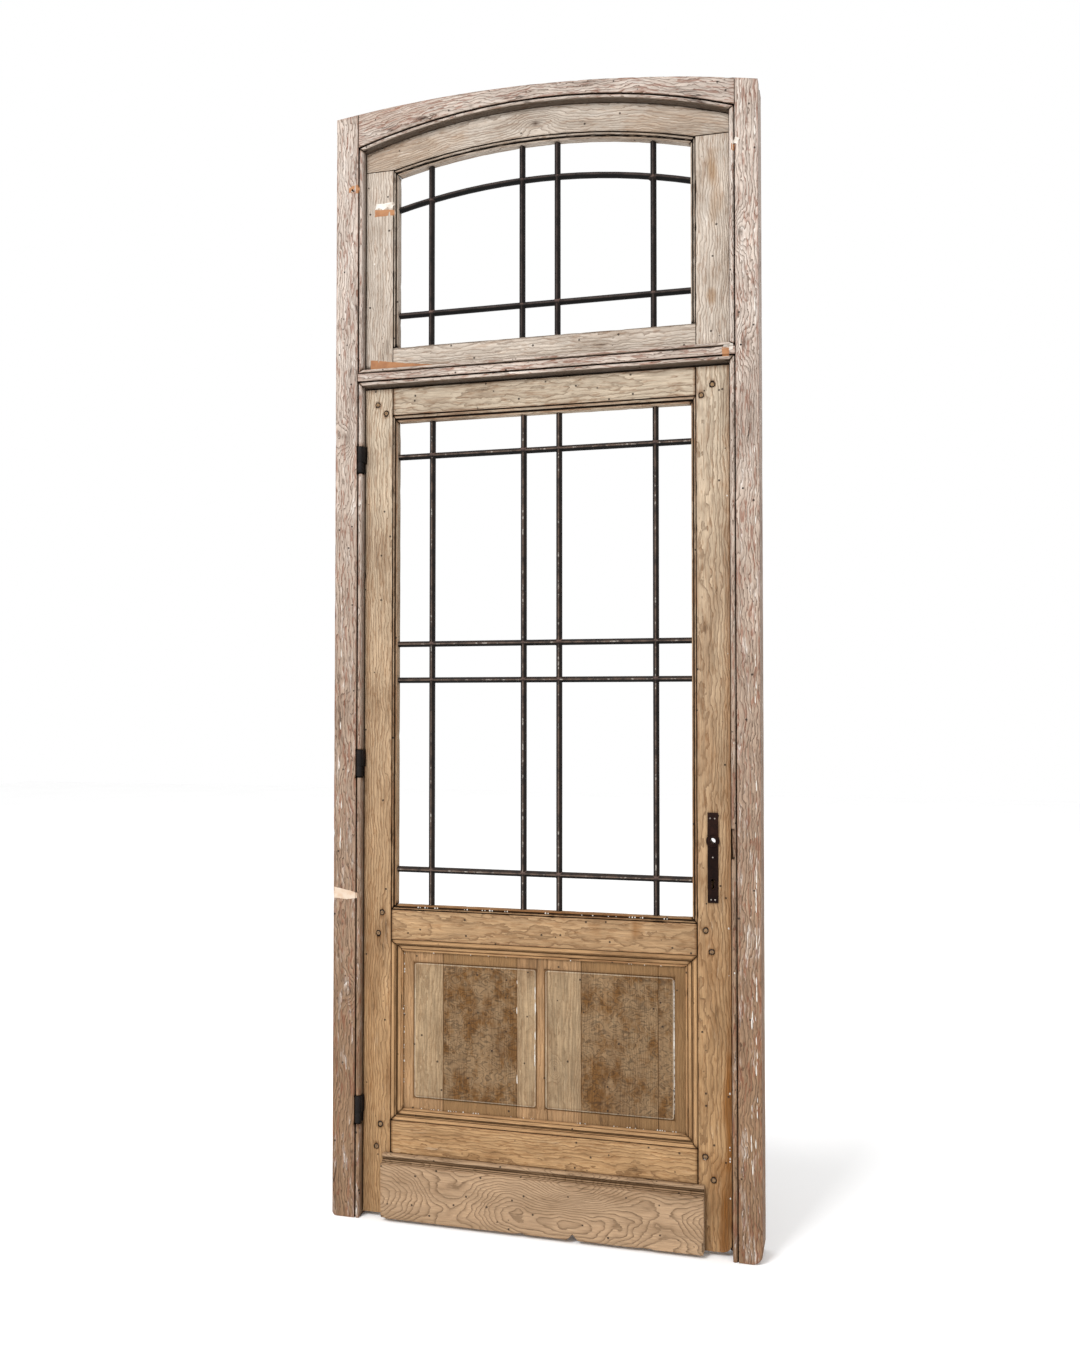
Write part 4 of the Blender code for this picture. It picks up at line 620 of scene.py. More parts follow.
    def field_gap(self, tree: bpy.types.NodeTree, place: Any) -> Any:
        """Distance from the incised line: below zero in a field, above it outside or behind.

        Args:
            tree: The material's tree.
            place: Object coordinates.

        Returns:
            The socket with the distance in metres.
        """
        low_z, high_z = self.field_height
        nearest = None
        for low, high in self.dark_fields:
            middle = ((low + high) / 2, 0.0, (low_z + high_z) / 2)
            half = ((high - low) / 2 - self.field_corner, 1.0,
                    (high_z - low_z) / 2 - self.field_corner)
            offset = add(tree, VECTOR, {0: place, 1: middle}, operation="SUBTRACT")
            spread = add(tree, VECTOR, {0: offset}, operation="ABSOLUTE")
            past = add(tree, VECTOR, {0: spread, 1: half}, operation="SUBTRACT")
            parts = add(tree, SEPARATE, {0: past}, out=None)
            outside = add(tree, VECTOR, {0: past, 1: (0.0, 0.0, 0.0)}, operation="MAXIMUM")
            length = add(tree, VECTOR, {0: outside}, operation="LENGTH", out="Value")
            inner = add(tree, MATH, {0: parts.outputs["X"], 1: parts.outputs["Z"]},
                        operation="MAXIMUM")
            within = add(tree, MATH, {0: inner, 1: 0.0}, operation="MINIMUM")
            total = add(tree, MATH, {0: length, 1: within}, operation="ADD")
            gap = add(tree, MATH, {0: total, 1: self.field_corner}, operation="SUBTRACT")
            nearest = gap if nearest is None else add(
                tree, MATH, {0: nearest, 1: gap}, operation="MINIMUM")
        depth = add(tree, SEPARATE, {0: place}, out="Y")
        behind = add(tree, MATH, {0: depth, 1: self.field_back}, operation="GREATER_THAN")
        return add(tree, MATH, {0: nearest, 1: behind}, operation="ADD")

    def darken_fields(self, tree: bpy.types.NodeTree, place: Any, colour: Any,
                      blotch: Any, grain: Any) -> Any:
        """Old varnish left inside the incised fields, mottled across the rays.

        Args:
            tree: The material's tree.
            place: Object coordinates.
            colour: Colour of the bare wood.
            blotch: Slow noise; not used.
            grain: Grain coordinates.

        Returns:
            The colour with the fields darkened and their edges drawn in painted shade and a
            painted highlight.
        """
        gap = self.field_gap(tree, place)
        field_mask = add(tree, MATH, {0: gap, 1: 0.0}, operation="LESS_THAN")

        # Ray fleck: curled ripples in cells about 30 mm across the grain and 16 mm along it,
        # drawn coarser than real fleck so that they show
        fleck = grain_noise(tree, grain, (34.0, 34.0, 62.0), Detail=1.0, Distortion=0.5)
        wave = add(tree, MATH, {0: fleck, 1: 5.0}, operation="MULTIPLY")
        curl = add(tree, MATH, {0: wave}, operation="FRACT")
        mottle = add(tree, RAMP, {0: curl}, stops=((0.0, 1.0), (0.35, 0.75), (0.62, 0.5),
                                                   (0.80, 0.0), (0.9, 0.35), (1.0, 1.0)))
        lift = add(tree, RANGE, {0: mottle, 1: 0.0, 2: 1.0, 3: 1.0 - 0.48 * self.fleck_depth,
                                 4: 1.0 + 0.20 * self.fleck_depth})
        patch = grain_noise(tree, grain, (17.0, 17.0, 13.0), Detail=4.0, Roughness=0.7)
        amber = add(tree, RANGE, {0: patch, 1: 0.44, 2: 0.60, 3: 0.0, 4: 0.90 * self.fleck_depth})
        base = add(tree, MIX, {0: amber, 6: tint(self.field_tone), 7: tint(self.field_amber)},
                   **COLOUR)
        varnish = add(tree, VECTOR, {0: base, 3: lift}, operation="SCALE")
        filled = add(tree, MIX, {0: field_mask, 6: colour, 7: varnish}, **COLOUR)

        # The incised line: painted shade with dirt in its bottom, and a painted highlight along
        # its inner lip
        shut = add(tree, MATH, {0: gap}, operation="ABSOLUTE")
        line = add(tree, RANGE, {0: shut, 1: 0.6 * MM, 2: 2.3 * MM, 3: 0.75, 4: 0.0})
        lip_at = add(tree, MATH, {0: gap, 1: 3.0 * MM}, operation="ADD")
        lip_gap = add(tree, MATH, {0: lip_at}, operation="ABSOLUTE")
        lip_highlight_mask = add(tree, RANGE, {0: lip_gap, 1: 0.4 * MM, 2: 2.0 * MM, 3: 0.55, 4: 0.0})
        pale = add(tree, MIX, {0: lip_highlight_mask, 6: filled, 7: tint(self.lip_highlight)}, **COLOUR)
        return add(tree, MIX, {0: line, 6: pale, 7: tint(self.groove_shade_and_dirt)}, **COLOUR)


@dataclass(frozen=True)
class IronFinish:
    """Hot-rolled wrought iron, painted black long ago and rusted thinly under what is left."""

    name: str
    base: str
    rust: str
    ridge: str = ""
    paint: str = "D6CDC2"
    paint_share: float = 0.0
    ridge_y: float = AT.bar_front
    roughness: float = 0.62
    metallic: float = 0.10
    gleam: float = 0.18

    def build(self) -> bpy.types.Material:
        """Build the node material.

        Returns:
            The material, with rust in patches and, where asked, pale paint on the ridge.
        """
        material, tree, shader = start_material(self.name)
        place = add(tree, COORDINATES, out="Object")
        patches = add(tree, NOISE, {"Vector": place, "Scale": 38.0, "Detail": 5.0,
                                    "Roughness": 0.65})
        grit = add(tree, NOISE, {"Vector": place, "Scale": 260.0, "Detail": 3.0})
        rusted = add(tree, RANGE, {0: patches, 1: 0.42, 2: 0.66})
        colour = add(tree, MIX, {0: rusted, 6: tint(self.base), 7: tint(self.rust)}, **COLOUR)
        speck = add(tree, RANGE, {0: grit, 1: 0.3, 2: 0.7, 3: 0.7, 4: 1.35})
        colour = add(tree, VECTOR, {0: colour, 3: speck}, operation="SCALE")
        # Painted light and shade: faces that look up are lightened and faces that look down
        # darkened, as if lit from above
        facing = add(tree, "ShaderNodeNewGeometry", out="Normal")
        tilt = add(tree, SEPARATE, {0: facing}, out="Z")
        top_light_and_under_shade = add(tree, RANGE, {0: tilt, 1: -0.45, 2: 0.5, 3: 0.10, 4: 1.35})
        colour = add(tree, VECTOR, {0: colour, 3: top_light_and_under_shade}, operation="SCALE")
        height = add(tree, MATH, {0: grit, 1: patches}, operation="ADD")
        split = add(tree, SEPARATE, {0: place}, out=None)
        # A lighter front ridge in patches: partly wear, partly a painted highlight where the ridge
        # catches the light
        if self.ridge:
            rubbed = add(tree, RANGE, {0: split.outputs["Y"], 1: self.ridge_y,
                                       2: self.ridge_y + 2.6 * MM, 3: 0.9, 4: 0.0})
            bare = add(tree, RANGE, {0: patches, 1: 0.40, 2: 0.56, 3: 0.35, 4: 1.0})
            worn = add(tree, MATH, {0: rubbed, 1: bare}, operation="MULTIPLY")
            colour = add(tree, MIX, {0: worn, 6: colour, 7: tint(self.ridge)}, **COLOUR)
        if self.paint_share > 0.0:
            ridge = add(tree, RANGE, {0: split.outputs["Y"], 1: self.ridge_y,
                                      2: self.ridge_y + 2.2 * MM, 3: 1.0, 4: 0.0})
            flakes = add(tree, NOISE, {"Vector": place, "Scale": 72.0, "Detail": 5.0,
                                       "Roughness": 0.72})
            low = 0.66 - 0.3 * self.paint_share
            kept = add(tree, RANGE, {0: flakes, 1: low, 2: low + 0.05})
            mask = add(tree, MATH, {0: ridge, 1: kept}, operation="MULTIPLY")
            colour = add(tree, MIX, {0: mask, 6: colour, 7: tint(self.paint)}, **COLOUR)
            height = add(tree, MATH, {0: mask, 1: 0.8, 2: height}, operation="MULTIPLY_ADD")
        tree.links.new(colour, shader.inputs["Base Color"])
        bump = add(tree, BUMP, {"Strength": 0.8, "Distance": 0.35 * MM, "Height": height},
                   out="Normal")
        tree.links.new(bump, shader.inputs["Normal"])
        shader.inputs["Roughness"].default_value = self.roughness
        shader.inputs["Metallic"].default_value = self.metallic
        shader.inputs["Specular IOR Level"].default_value = self.gleam
        return material


@dataclass(frozen=True)
class FillerFinish:
    """Trowelled filler or old oil paint: nearly one colour, faintly mottled and matt."""

    name: str
    base: str
    soil: str
    roughness: float = 0.7

    def build(self) -> bpy.types.Material:
        """Build the node material.

        Returns:
            The material, soiled in soft patches.
        """
        material, tree, shader = start_material(self.name)
        place = add(tree, COORDINATES, out="Object")
        soft = add(tree, NOISE, {"Vector": place, "Scale": 60.0, "Detail": 4.0})
        soil_mask = add(tree, RANGE, {0: soft, 1: 0.40, 2: 0.72})
        colour = add(tree, MIX, {0: soil_mask, 6: tint(self.base), 7: tint(self.soil)}, **COLOUR)
        tree.links.new(colour, shader.inputs["Base Color"])
        bump = add(tree, BUMP, {"Strength": 0.6, "Distance": 0.3 * MM, "Height": soft},
                   out="Normal")
        tree.links.new(bump, shader.inputs["Normal"])
        shader.inputs["Roughness"].default_value = self.roughness
        return material


@dataclass(frozen=True)
class PegFinish:
    """Riven oak peg seen end on: dark pores in the middle and a dirty gap round its rim."""

    name: str = "riven_oak_peg_end"
    wood: str = "9C7A52"
    pore: str = "644628"
    gap: str = "1C120A"

    def build(self) -> bpy.types.Material:
        """Build the node material.

        Returns:
            The material, which reads the peg's rim attribute.
        """
        material, tree, shader = start_material(self.name)
        rim = add(tree, ATTRIBUTE, out="Fac", attribute_name="rim")
        place = add(tree, COORDINATES, out="Object")
        pores = add(tree, NOISE, {"Vector": place, "Scale": 330.0, "Detail": 3.0})
        pore_mask = add(tree, RANGE, {0: pores, 1: 0.42, 2: 0.62})
        end_wood = add(tree, MIX, {0: pore_mask, 6: tint(self.wood), 7: tint(self.pore)}, **COLOUR)
        edge = add(tree, RANGE, {0: rim, 1: 0.68, 2: 0.86})
        colour = add(tree, MIX, {0: edge, 6: end_wood, 7: tint(self.gap)}, **COLOUR)
        tree.links.new(colour, shader.inputs["Base Color"])
        bump = add(tree, BUMP, {"Strength": 0.7, "Distance": 0.3 * MM, "Height": pores},
                   out="Normal")
        tree.links.new(bump, shader.inputs["Normal"])
        shader.inputs["Roughness"].default_value = 0.8
        return material


WEATHERED_OAK = OakFinish(
    name="limewashed_weathered_oak", late_low="A18062", late_high="DACABD",
    early_low="46301F", early_high="5E4736", bloom="F8F0E8", deep_shade_and_dirt="140C07", arris="96583A",
    soil="7A6248", ring=5.2 * MM, line_strength=0.95, bloom_strength=0.85, bloom_share=0.55,
    arris_strength=0.5, stain_and_shade="8A5834", stain_share=0.22, bump=4.0 * MM, ripple=11.0 * MM,
    crack_share=1.0, streak="8C5238", streak_share=0.55, contrast=1.5)
SASH_OAK = OakFinish(
    name="bleached_sash_oak", late_low="CFC0B0", late_high="D2C4B5", early_low="6A523E",
    early_high="6C5544", bloom="F6EEE4", deep_shade_and_dirt="0C0805", arris="96704E", soil="6A543C",
    ring=4.2 * MM, line_strength=0.72, bloom_strength=0.6, bloom_share=0.5,
    arris_strength=0.3, stain_and_shade="97724A", stain_share=0.38, bump=2.8 * MM, streak="8F6A4C",
    streak_share=0.35, contrast=1.3)
HONEY_OAK = OakFinish(
    name="stripped_honey_oak", late_low="BD966A", late_high="CFBDA6", early_low="5E3C1C",
    early_high="6A5036", bloom="E4D3BA", deep_shade_and_dirt="120A05", arris="92582A", soil="6B4A2C",
    ring=4.6 * MM, line_strength=0.75, bloom_strength=0.35, bloom_share=0.35,
    arris_strength=0.5, stain_and_shade="8E5A22", stain_share=0.45, low_z=0.3, high_z=2.2,
    bump=3.4 * MM, streak="855628", streak_share=0.35, contrast=1.7, fade=1.7)
MOULDING_OAK = OakFinish(
    name="stripped_moulding_oak", late_low="C69C6E", late_high="C69C6E", early_low="68431F",
    early_high="68431F", bloom="EEDFC8", deep_shade_and_dirt="120A05", arris="9C6534", soil="6B4A2C",
    ring=4.0 * MM, line_strength=0.40, bloom_strength=0.3, bloom_share=0.3,
    arris_strength=0.4, stain_and_shade="8A5824", stain_share=0.40, contrast=1.4)
PANEL_OAK = OakFinish(
    name="quartered_panel_oak", late_low="AC8760", late_high="AC8760", early_low="64421F",
    early_high="64421F", bloom="E2D0B0", deep_shade_and_dirt="120A05", arris="946236", soil="6B4A2C",
    ring=4.4 * MM, line_strength=0.50, bloom_strength=0.28, bloom_share=0.3,
    arris_strength=0.3, stain_and_shade="86582A", stain_share=0.35,
    dark_fields=INCISED_FIELDS, field_tone="AC9271", fleck_depth=0.18,
    contrast=1.9)
DARK_PANEL_OAK = OakFinish(
    name="varnished_dark_panel_oak", late_low="957149", late_high="957149",
    early_low="543A1E", early_high="543A1E", bloom="CDB993", deep_shade_and_dirt="120A05", arris="8A5E34",
    soil="5E4226", ring=4.4 * MM, line_strength=0.3, bloom_strength=0.25, bloom_share=0.4,
    arris_strength=0.3, stain_and_shade="6E4416", stain_share=0.3, bump=2.2 * MM,
    dark_fields=INCISED_FIELDS, field_tone="927554", fleck_depth=1.0)
WEATHERBOARD_OAK = OakFinish(
    name="flat_sawn_weatherboard_oak", late_low="C2A17F", late_high="C2A17F",
    early_low="503619", early_high="503619", bloom="DEC7A6", deep_shade_and_dirt="120A05", arris="94663C",
    soil="7A5634", contrast=1.2, ring=4.6 * MM, line_strength=0.72, bloom_strength=0.25,
    bloom_share=0.35, arris_strength=0.4, stain_and_shade="8F6436", stain_share=0.3, bump=3.4 * MM,
    ripple=3.0 * MM)
# The ridge colours of the bars are partly wear and partly a painted highlight
BARE_IRON = IronFinish("rolled_black_iron", base="1E1918", rust="2C2320", ridge="5A4C46")
PAINTED_IRON = IronFinish("rolled_black_iron_with_paint", base="1F1A18", rust="33271F",
                          ridge="8A7466", paint_share=0.30)
HINGE_IRON = IronFinish("forged_hinge_iron", base="1A1615", rust="2A1F1B")
PLATE_IRON = IronFinish("waxed_brown_iron", base="200F0A", rust="311A12", roughness=0.55,
                        gleam=0.08)
SCREW_STEEL = IronFinish("worn_steel_screws", base="B9AFA6", rust="8E8278", roughness=0.45)
BRAZED_IRON = IronFinish("brazed_iron_lump", base="52403A", rust="6A544B")
RESIN_FILLER = FillerFinish("orange_wood_filler", base="B47B4B", soil="9E6437")
WHITE_FILLER = FillerFinish("white_filler", base="EFE8DF", soil="D2C4B4", roughness=0.6)
CREAM_FILLER = FillerFinish("cream_plaster_filler", base="E9D4BE", soil="D9B597")


# Timber: a solid cut finely, worn and given its grain

@dataclass
class Knot:
    """A knot in a face: its place along and across the grain, and its radius."""

    along: float
    across: float
    radius: float = 0.012
    dark: float = 1.0
    swirl: float = 0.024


@dataclass
class StainAndShade:
    """A soft stain in a face, also used for a band of painted shade: its middle, half width and
    half height, and its strength.
    """

    x: float
    z: float
    half_width: float
    half_height: float
    strength: float = 0.8


@dataclass
class Timber:
    """One sawn piece of oak, worn on its edges, with its grain as attributes on its mesh."""

    node: str
    run: Run
    seed: int
    pith: Flat = (0.060, 0.045)
    tone: float = 1.0
    relief: float = 0.45 * MM
    wear: float = 0.9 * MM
    chip: float = 2.2 * MM
    wander: float = 9.0 * MM
    along_step: float = 0.014
    across_step: float = 0.0046
    grime_and_shade: float = 3.2 * MM
    under_shade_and_soot: float = 0.0
    seam_reach: float = SEAM_DEEP
    blackest: float = 1.0
    knots: Tuple[Knot, ...] = ()
    stains_and_shade: Tuple[StainAndShade, ...] = ()

    def axes(self) -> Tuple[int, int]:
        """Axis numbers along and across the grain; depth is always Y."""
        return (2, 0) if self.run is Run.UPRIGHT else (0, 2)

    def slice_finely(self, work: bmesh.types.BMesh) -> None:
        """Cut the solid into small faces along and across its grain.

        Args:
            work: The merged solid, which is changed.
        """
        low = Vector([min(v.co[i] for v in work.verts) for i in range(3)])
        high = Vector([max(v.co[i] for v in work.verts) for i in range(3)])
        along, across = self.axes()
        inset = 1.6 * MM
        for axis in (across, 1, along):
            step = self.along_step if axis == along else self.across_step
            span = high[axis] - low[axis] - 2 * inset
            count = max(1, round(span / step))
            for number in range(count + 1):
                cut_square(work, axis, low[axis] + inset + span * number / count, 0.004 * MM)

    @staticmethod
    def edge_points(work: bmesh.types.BMesh, convex: bool) -> List[Vector]:
        """Points close together along the sharp edges of one kind.

        Args:
            work: The merged solid.
            convex: True for arrises, False for inner corners.

        Returns:
            The points.
        """
        points = []
        for edge in work.edges:
            if len(edge.link_faces) != 2:
                continue
            angle = edge.calc_face_angle_signed(0.0)
            if (angle > ARRIS_TURN) if convex else (angle < -CORNER_TURN):
                start, end = (v.co for v in edge.verts)
                count = max(1, int((end - start).length / EDGE_SPACING))
                points += [start.lerp(end, k / count) for k in range(count + 1)]
        return points

    @staticmethod
    def nearness(places: np.ndarray, points: List[Vector], reach: float) -> np.ndarray:
        """How near each place is to the nearest point: one on it, falling off with distance.

        Args:
            places: Places, one row each.
            points: Points to measure from.
            reach: Distance over which the value falls.

        Returns:
            A value from 0 to 1 for each place.
        """
        if not points:
            return np.zeros(len(places))
        tree = KDTree(len(points))
        for number, point in enumerate(points):
            tree.insert(point, number)
        tree.balance()
        gaps = np.array([tree.find(place)[2] for place in places])
        return np.exp(-(gaps / reach) ** 2)

    def build(self, finish: bpy.types.Material) -> bpy.types.Object:
        """Cut, wear and dress the piece.

        Args:
            finish: The oak finish to give it.

        Returns:
            The finished piece, in place of its solid.
        """
        work = merged_copy(self.node)
        ridges = self.edge_points(work, convex=True)
        corners = self.edge_points(work, convex=False)
        self.slice_finely(work)
        item = new_object(self.node + "_timber", work, sharp=38.0)
        mesh = item.data
        count = len(mesh.vertices)
        places = np.empty(count * 3)
        mesh.vertices.foreach_get("co", places)
        places = places.reshape(-1, 3)
        normals = np.empty(count * 3)
        mesh.vertices.foreach_get("normal", normals)
        normals = normals.reshape(-1, 3)

        arris = self.nearness(places, ridges, 2.6 * MM)
        # Painted shade with dirt: darker in inner corners, on faces that look down and in the gaps
        # to other pieces
        painted_shade_and_dirt = self.nearness(places, corners, self.grime_and_shade)
        painted_shade_and_dirt = np.maximum(painted_shade_and_dirt, self.under_shade_and_soot * np.clip(-1.6 * normals[:, 2], 0.0, 1.0))
        painted_shade_and_dirt = np.minimum(np.maximum(painted_shade_and_dirt, self.seams(places)), self.blackest)
        grain = self.grain(places)

        # Wear: a swell that follows the fibres, arrises rubbed unevenly, and bites out of them
        swell = 0.5 + 0.5 * lattice_noise(grain * (95.0, 95.0, 16.0), self.seed)
        uneven = 0.55 + 0.45 * lattice_noise(grain * (12.0, 12.0, 21.0), self.seed + 1)
        bite = lattice_noise(grain * (30.0, 30.0, 38.0), self.seed + 2)
        chips = np.clip((bite - 0.42) / 0.3, 0.0, 1.0)
        inward = (self.relief * swell + self.wear * uneven * arris
                  + self.chip * chips * arris)
        places = places - normals * inward[:, None]
        mesh.vertices.foreach_set("co", places.ravel())
        mesh.update()

        radius, knot = self.rings(grain)
        self.store(mesh, "grain", grain + (self.seed * 1.7, self.seed * 0.9, self.seed * 2.3))
        self.store(mesh, "radius", radius)
        self.store(mesh, "knot", knot)
        self.store(mesh, "local_stain_and_shade", self.stain_and_shade_strength(places))
        self.store(mesh, "arris", arris)
        self.store(mesh, "painted_shade_and_dirt", painted_shade_and_dirt)
        self.store(mesh, "tone", np.full(count, self.tone))
        return settle(item, finish, body_of(self.node), slot_of(self.node), self.node)

    def grain(self, places: np.ndarray) -> np.ndarray:
        """Places measured across, into and along the grain.

        Args:
            places: Places in the part's frame, one row each.

        Returns:
            Rows of across, depth and along, in metres.
        """
        along, across = self.axes()
        wide = places[:, across].copy()
        if self.run is Run.ARCHED:
            drop = (places[:, 0] - AT.arch_x) ** 2 / (2 * AT.arch_radius)
            wide += 0.8 * drop
        middle = (wide.min() + wide.max()) / 2
        depth = places[:, 1] - (places[:, 1].min() + places[:, 1].max()) / 2
        return np.column_stack((wide - middle, depth, places[:, along]))

    def rings(self, grain: np.ndarray) -> Tuple[np.ndarray, np.ndarray]:
        """Warped distance from the heart of the log, and the strength of any knot.

        Args:
            grain: Rows of across, depth and along.

        Returns:
            The distance in metres and the knot's strength from 0 to 1, for each row.
        """
        # The log's own bends, then shorter ones, so that no ring runs like a ruled line
        radius = np.hypot(grain[:, 0] - self.pith[0], grain[:, 1] - self.pith[1])
        radius = radius + self.wander * lattice_noise(grain * (7.0, 7.0, 2.2), self.seed + 3)
        radius += 0.5 * self.wander * lattice_noise(grain * (20.0, 20.0, 11.0), self.seed + 4)
        radius += 0.22 * self.wander * lattice_noise(grain * (52.0, 52.0, 36.0), self.seed + 5)
        strength = np.zeros(len(grain))
        for knot in self.knots:
            along = (grain[:, 2] - knot.along) / 1.8
            gap = np.hypot(along, grain[:, 0] - knot.across)
            radius += knot.swirl * np.exp(-(gap / (2.6 * knot.radius)) ** 2)
            strength = np.maximum(strength,
                                  knot.dark * np.exp(-(gap / (0.5 * knot.radius)) ** 2))
        return radius + self.seed * 0.31, strength

    def seams(self, places: np.ndarray) -> np.ndarray:
        """Dirt and painted shade at each place for its nearness to other pieces: thin in front,
        wide behind.
        """
        gaps = NEIGHBOURS.gaps(self.node, places, SEAM_JAMB)
        front = places[:, 1].min()

        # From 4 mm behind the front the dirt and painted shade are wide, and from 9 mm they stay
        # short of black
        reach = np.where(places[:, 1] > front + 4.0 * MM, self.seam_reach, SEAM_FRONT)
        most = np.where(places[:, 1] > front + 9.0 * MM, 0.78, 1.0)
        return np.clip(1.25 * (1.0 - gaps / reach), 0.0, most)

    def stain_and_shade_strength(self, places: np.ndarray) -> np.ndarray:
        """Strength of the local stains, and of any band of painted shade, at each place, from 0 to
        1.
        """
        strength = np.zeros(len(places))
        wobble = 1.0 + 0.45 * lattice_noise(places * 34.0, self.seed + 8)
        for stain_and_shade in self.stains_and_shade:
            gap = np.hypot((places[:, 0] - stain_and_shade.x) / stain_and_shade.half_width,
                           (places[:, 2] - stain_and_shade.z) / stain_and_shade.half_height)
            here = stain_and_shade.strength * np.clip(1.6 - 1.2 * gap * wobble, 0.0, 1.0)
            strength = np.maximum(strength, here)
        return strength

    @staticmethod
    def store(mesh: bpy.types.Mesh, name: str, values: np.ndarray) -> None:
        """Keep values on the mesh's points as a named attribute."""
        if values.ndim == 2:
            layer = mesh.attributes.new(name, "FLOAT_VECTOR", "POINT")
            layer.data.foreach_set("vector", values.astype(np.float32).ravel())
        else:
            layer = mesh.attributes.new(name, "FLOAT", "POINT")
            layer.data.foreach_set("value", values.astype(np.float32))


# Sub-assemblies

@dataclass
class Joinery:
    """Timbers that share one oak finish."""

    oak: OakFinish
    pieces: Tuple[Timber, ...]

    def build(self) -> None:
        """Build and dress the timbers."""
        finish = self.oak.build()
        for piece in self.pieces:
            piece.build(finish)


@dataclass
class TimberFrame(Joinery):
    """The frame that the leaf hangs in: two jambs, an arched head and a transom bar."""

    oak: OakFinish = WEATHERED_OAK
    pieces: Tuple[Timber, ...] = (
        Timber("hinge_jamb", Run.UPRIGHT, 3, pith=(0.075, 0.085), wander=0.013,
               grime_and_shade=3.0 * MM, seam_reach=SEAM_JAMB,
               knots=(Knot(2.15, -0.014, 0.010), Knot(0.62, 0.006, 0.009))),
        Timber("lock_jamb", Run.UPRIGHT, 7, pith=(-0.082, 0.075), tone=1.07, wander=0.013,
               grime_and_shade=3.0 * MM, seam_reach=SEAM_JAMB,
               knots=(Knot(2.335, 0.006, 0.011), Knot(2.62, -0.004, 0.009))),
        Timber("arched_head", Run.ARCHED, 11, pith=(-0.085, 0.070), tone=0.93, wander=0.013,
               chip=1.6 * MM, grime_and_shade=2.8 * MM, under_shade_and_soot=0.80, seam_reach=SEAM_JAMB,
               stains_and_shade=(StainAndShade(0.13, 3.057, 0.11, 0.035, 0.35),)),
        Timber("transom_bar", Run.LEVEL, 17, pith=(-0.065, 0.050), wander=0.007,
               relief=0.3 * MM, chip=1.2 * MM, grime_and_shade=2.6 * MM, under_shade_and_soot=0.80,
               seam_reach=SEAM_JAMB),
    )


@dataclass
class ArchedLight(Joinery):
    """The fixed sash over the transom bar: two stiles, a bottom rail and an arched rail."""

    oak: OakFinish = SASH_OAK
    pieces: Tuple[Timber, ...] = (
        Timber("light_left_stile", Run.UPRIGHT, 21, pith=(0.07, 0.09), tone=0.98,
               grime_and_shade=2.2 * MM),
        Timber("light_right_stile", Run.UPRIGHT, 23, pith=(-0.07, 0.10), tone=1.04,
               grime_and_shade=2.2 * MM,
               stains_and_shade=(StainAndShade(1.012, 2.80, 0.014, 0.040, 0.8),
                       StainAndShade(1.018, 2.70, 0.016, 0.06, 0.5),
                       StainAndShade(1.010, 2.47, 0.014, 0.03, 0.7))),
        Timber("light_bottom_rail", Run.LEVEL, 27, pith=(0.05, 0.09),
               wander=0.006, grime_and_shade=2.2 * MM),
        Timber("light_arched_rail", Run.ARCHED, 29, pith=(0.06, 0.06), tone=0.93,
               knots=(Knot(0.535, 0.010, 0.013),), wander=0.008, chip=1.2 * MM,
               grime_and_shade=2.4 * MM,
               stains_and_shade=(StainAndShade(0.14, 2.950, 0.17, 0.055, 0.45),
                       StainAndShade(0.89, 2.940, 0.15, 0.055, 0.42))),
    )


@dataclass
class LeafFrame(Joinery):
    """Stiles and rails of the leaf."""

    oak: OakFinish = HONEY_OAK
    pieces: Tuple[Timber, ...] = (
        Timber("hinge_stile", Run.UPRIGHT, 31, pith=(0.065, 0.080), relief=0.35 * MM,
               chip=1.6 * MM, grime_and_shade=2.2 * MM,
               stains_and_shade=(StainAndShade(0.052, 1.75, 0.006, 0.55, 0.4),
                       StainAndShade(0.060, 0.70, 0.010, 0.35, 0.3))),
        Timber("lock_stile", Run.UPRIGHT, 37, pith=(-0.030, 0.070),
               relief=0.35 * MM, chip=1.6 * MM, grime_and_shade=2.2 * MM,
               stains_and_shade=(StainAndShade(1.046, 0.36, 0.010, 0.26, 1.0),
                       StainAndShade(1.036, 0.09, 0.017, 0.13, 1.0),
                       # A brown band along the lock edge: painted shade where the jamb shades the
                       # leaf
                       StainAndShade(1.054, 1.20, 0.015, 1.30, 0.45),
                       StainAndShade(1.000, 0.74, 0.025, 0.10, 0.35),
                       StainAndShade(1.012, 0.18, 0.020, 0.10, 0.4),
                       StainAndShade(1.000, 1.30, 0.030, 0.10, 0.25))),
        Timber("top_rail", Run.LEVEL, 41, pith=(0.020, 0.060), tone=0.92, wander=0.007,
               relief=0.3 * MM, chip=1.0 * MM, grime_and_shade=2.4 * MM),
        Timber("lock_rail", Run.LEVEL, 43, pith=(-0.010, 0.075), tone=0.97, wander=0.007,
               relief=0.3 * MM, chip=2.4 * MM, grime_and_shade=2.4 * MM,
               stains_and_shade=(StainAndShade(0.805, 0.822, 0.012, 0.022, 0.7),
                       StainAndShade(0.700, 0.800, 0.008, 0.030, 0.35),
                       StainAndShade(0.545, 0.853, 0.42, 0.005, 0.7))),
        Timber("bottom_rail", Run.LEVEL, 47, pith=(0.040, 0.080), tone=1.10, wander=0.007,
               relief=0.3 * MM, chip=1.2 * MM, grime_and_shade=2.4 * MM),
    )


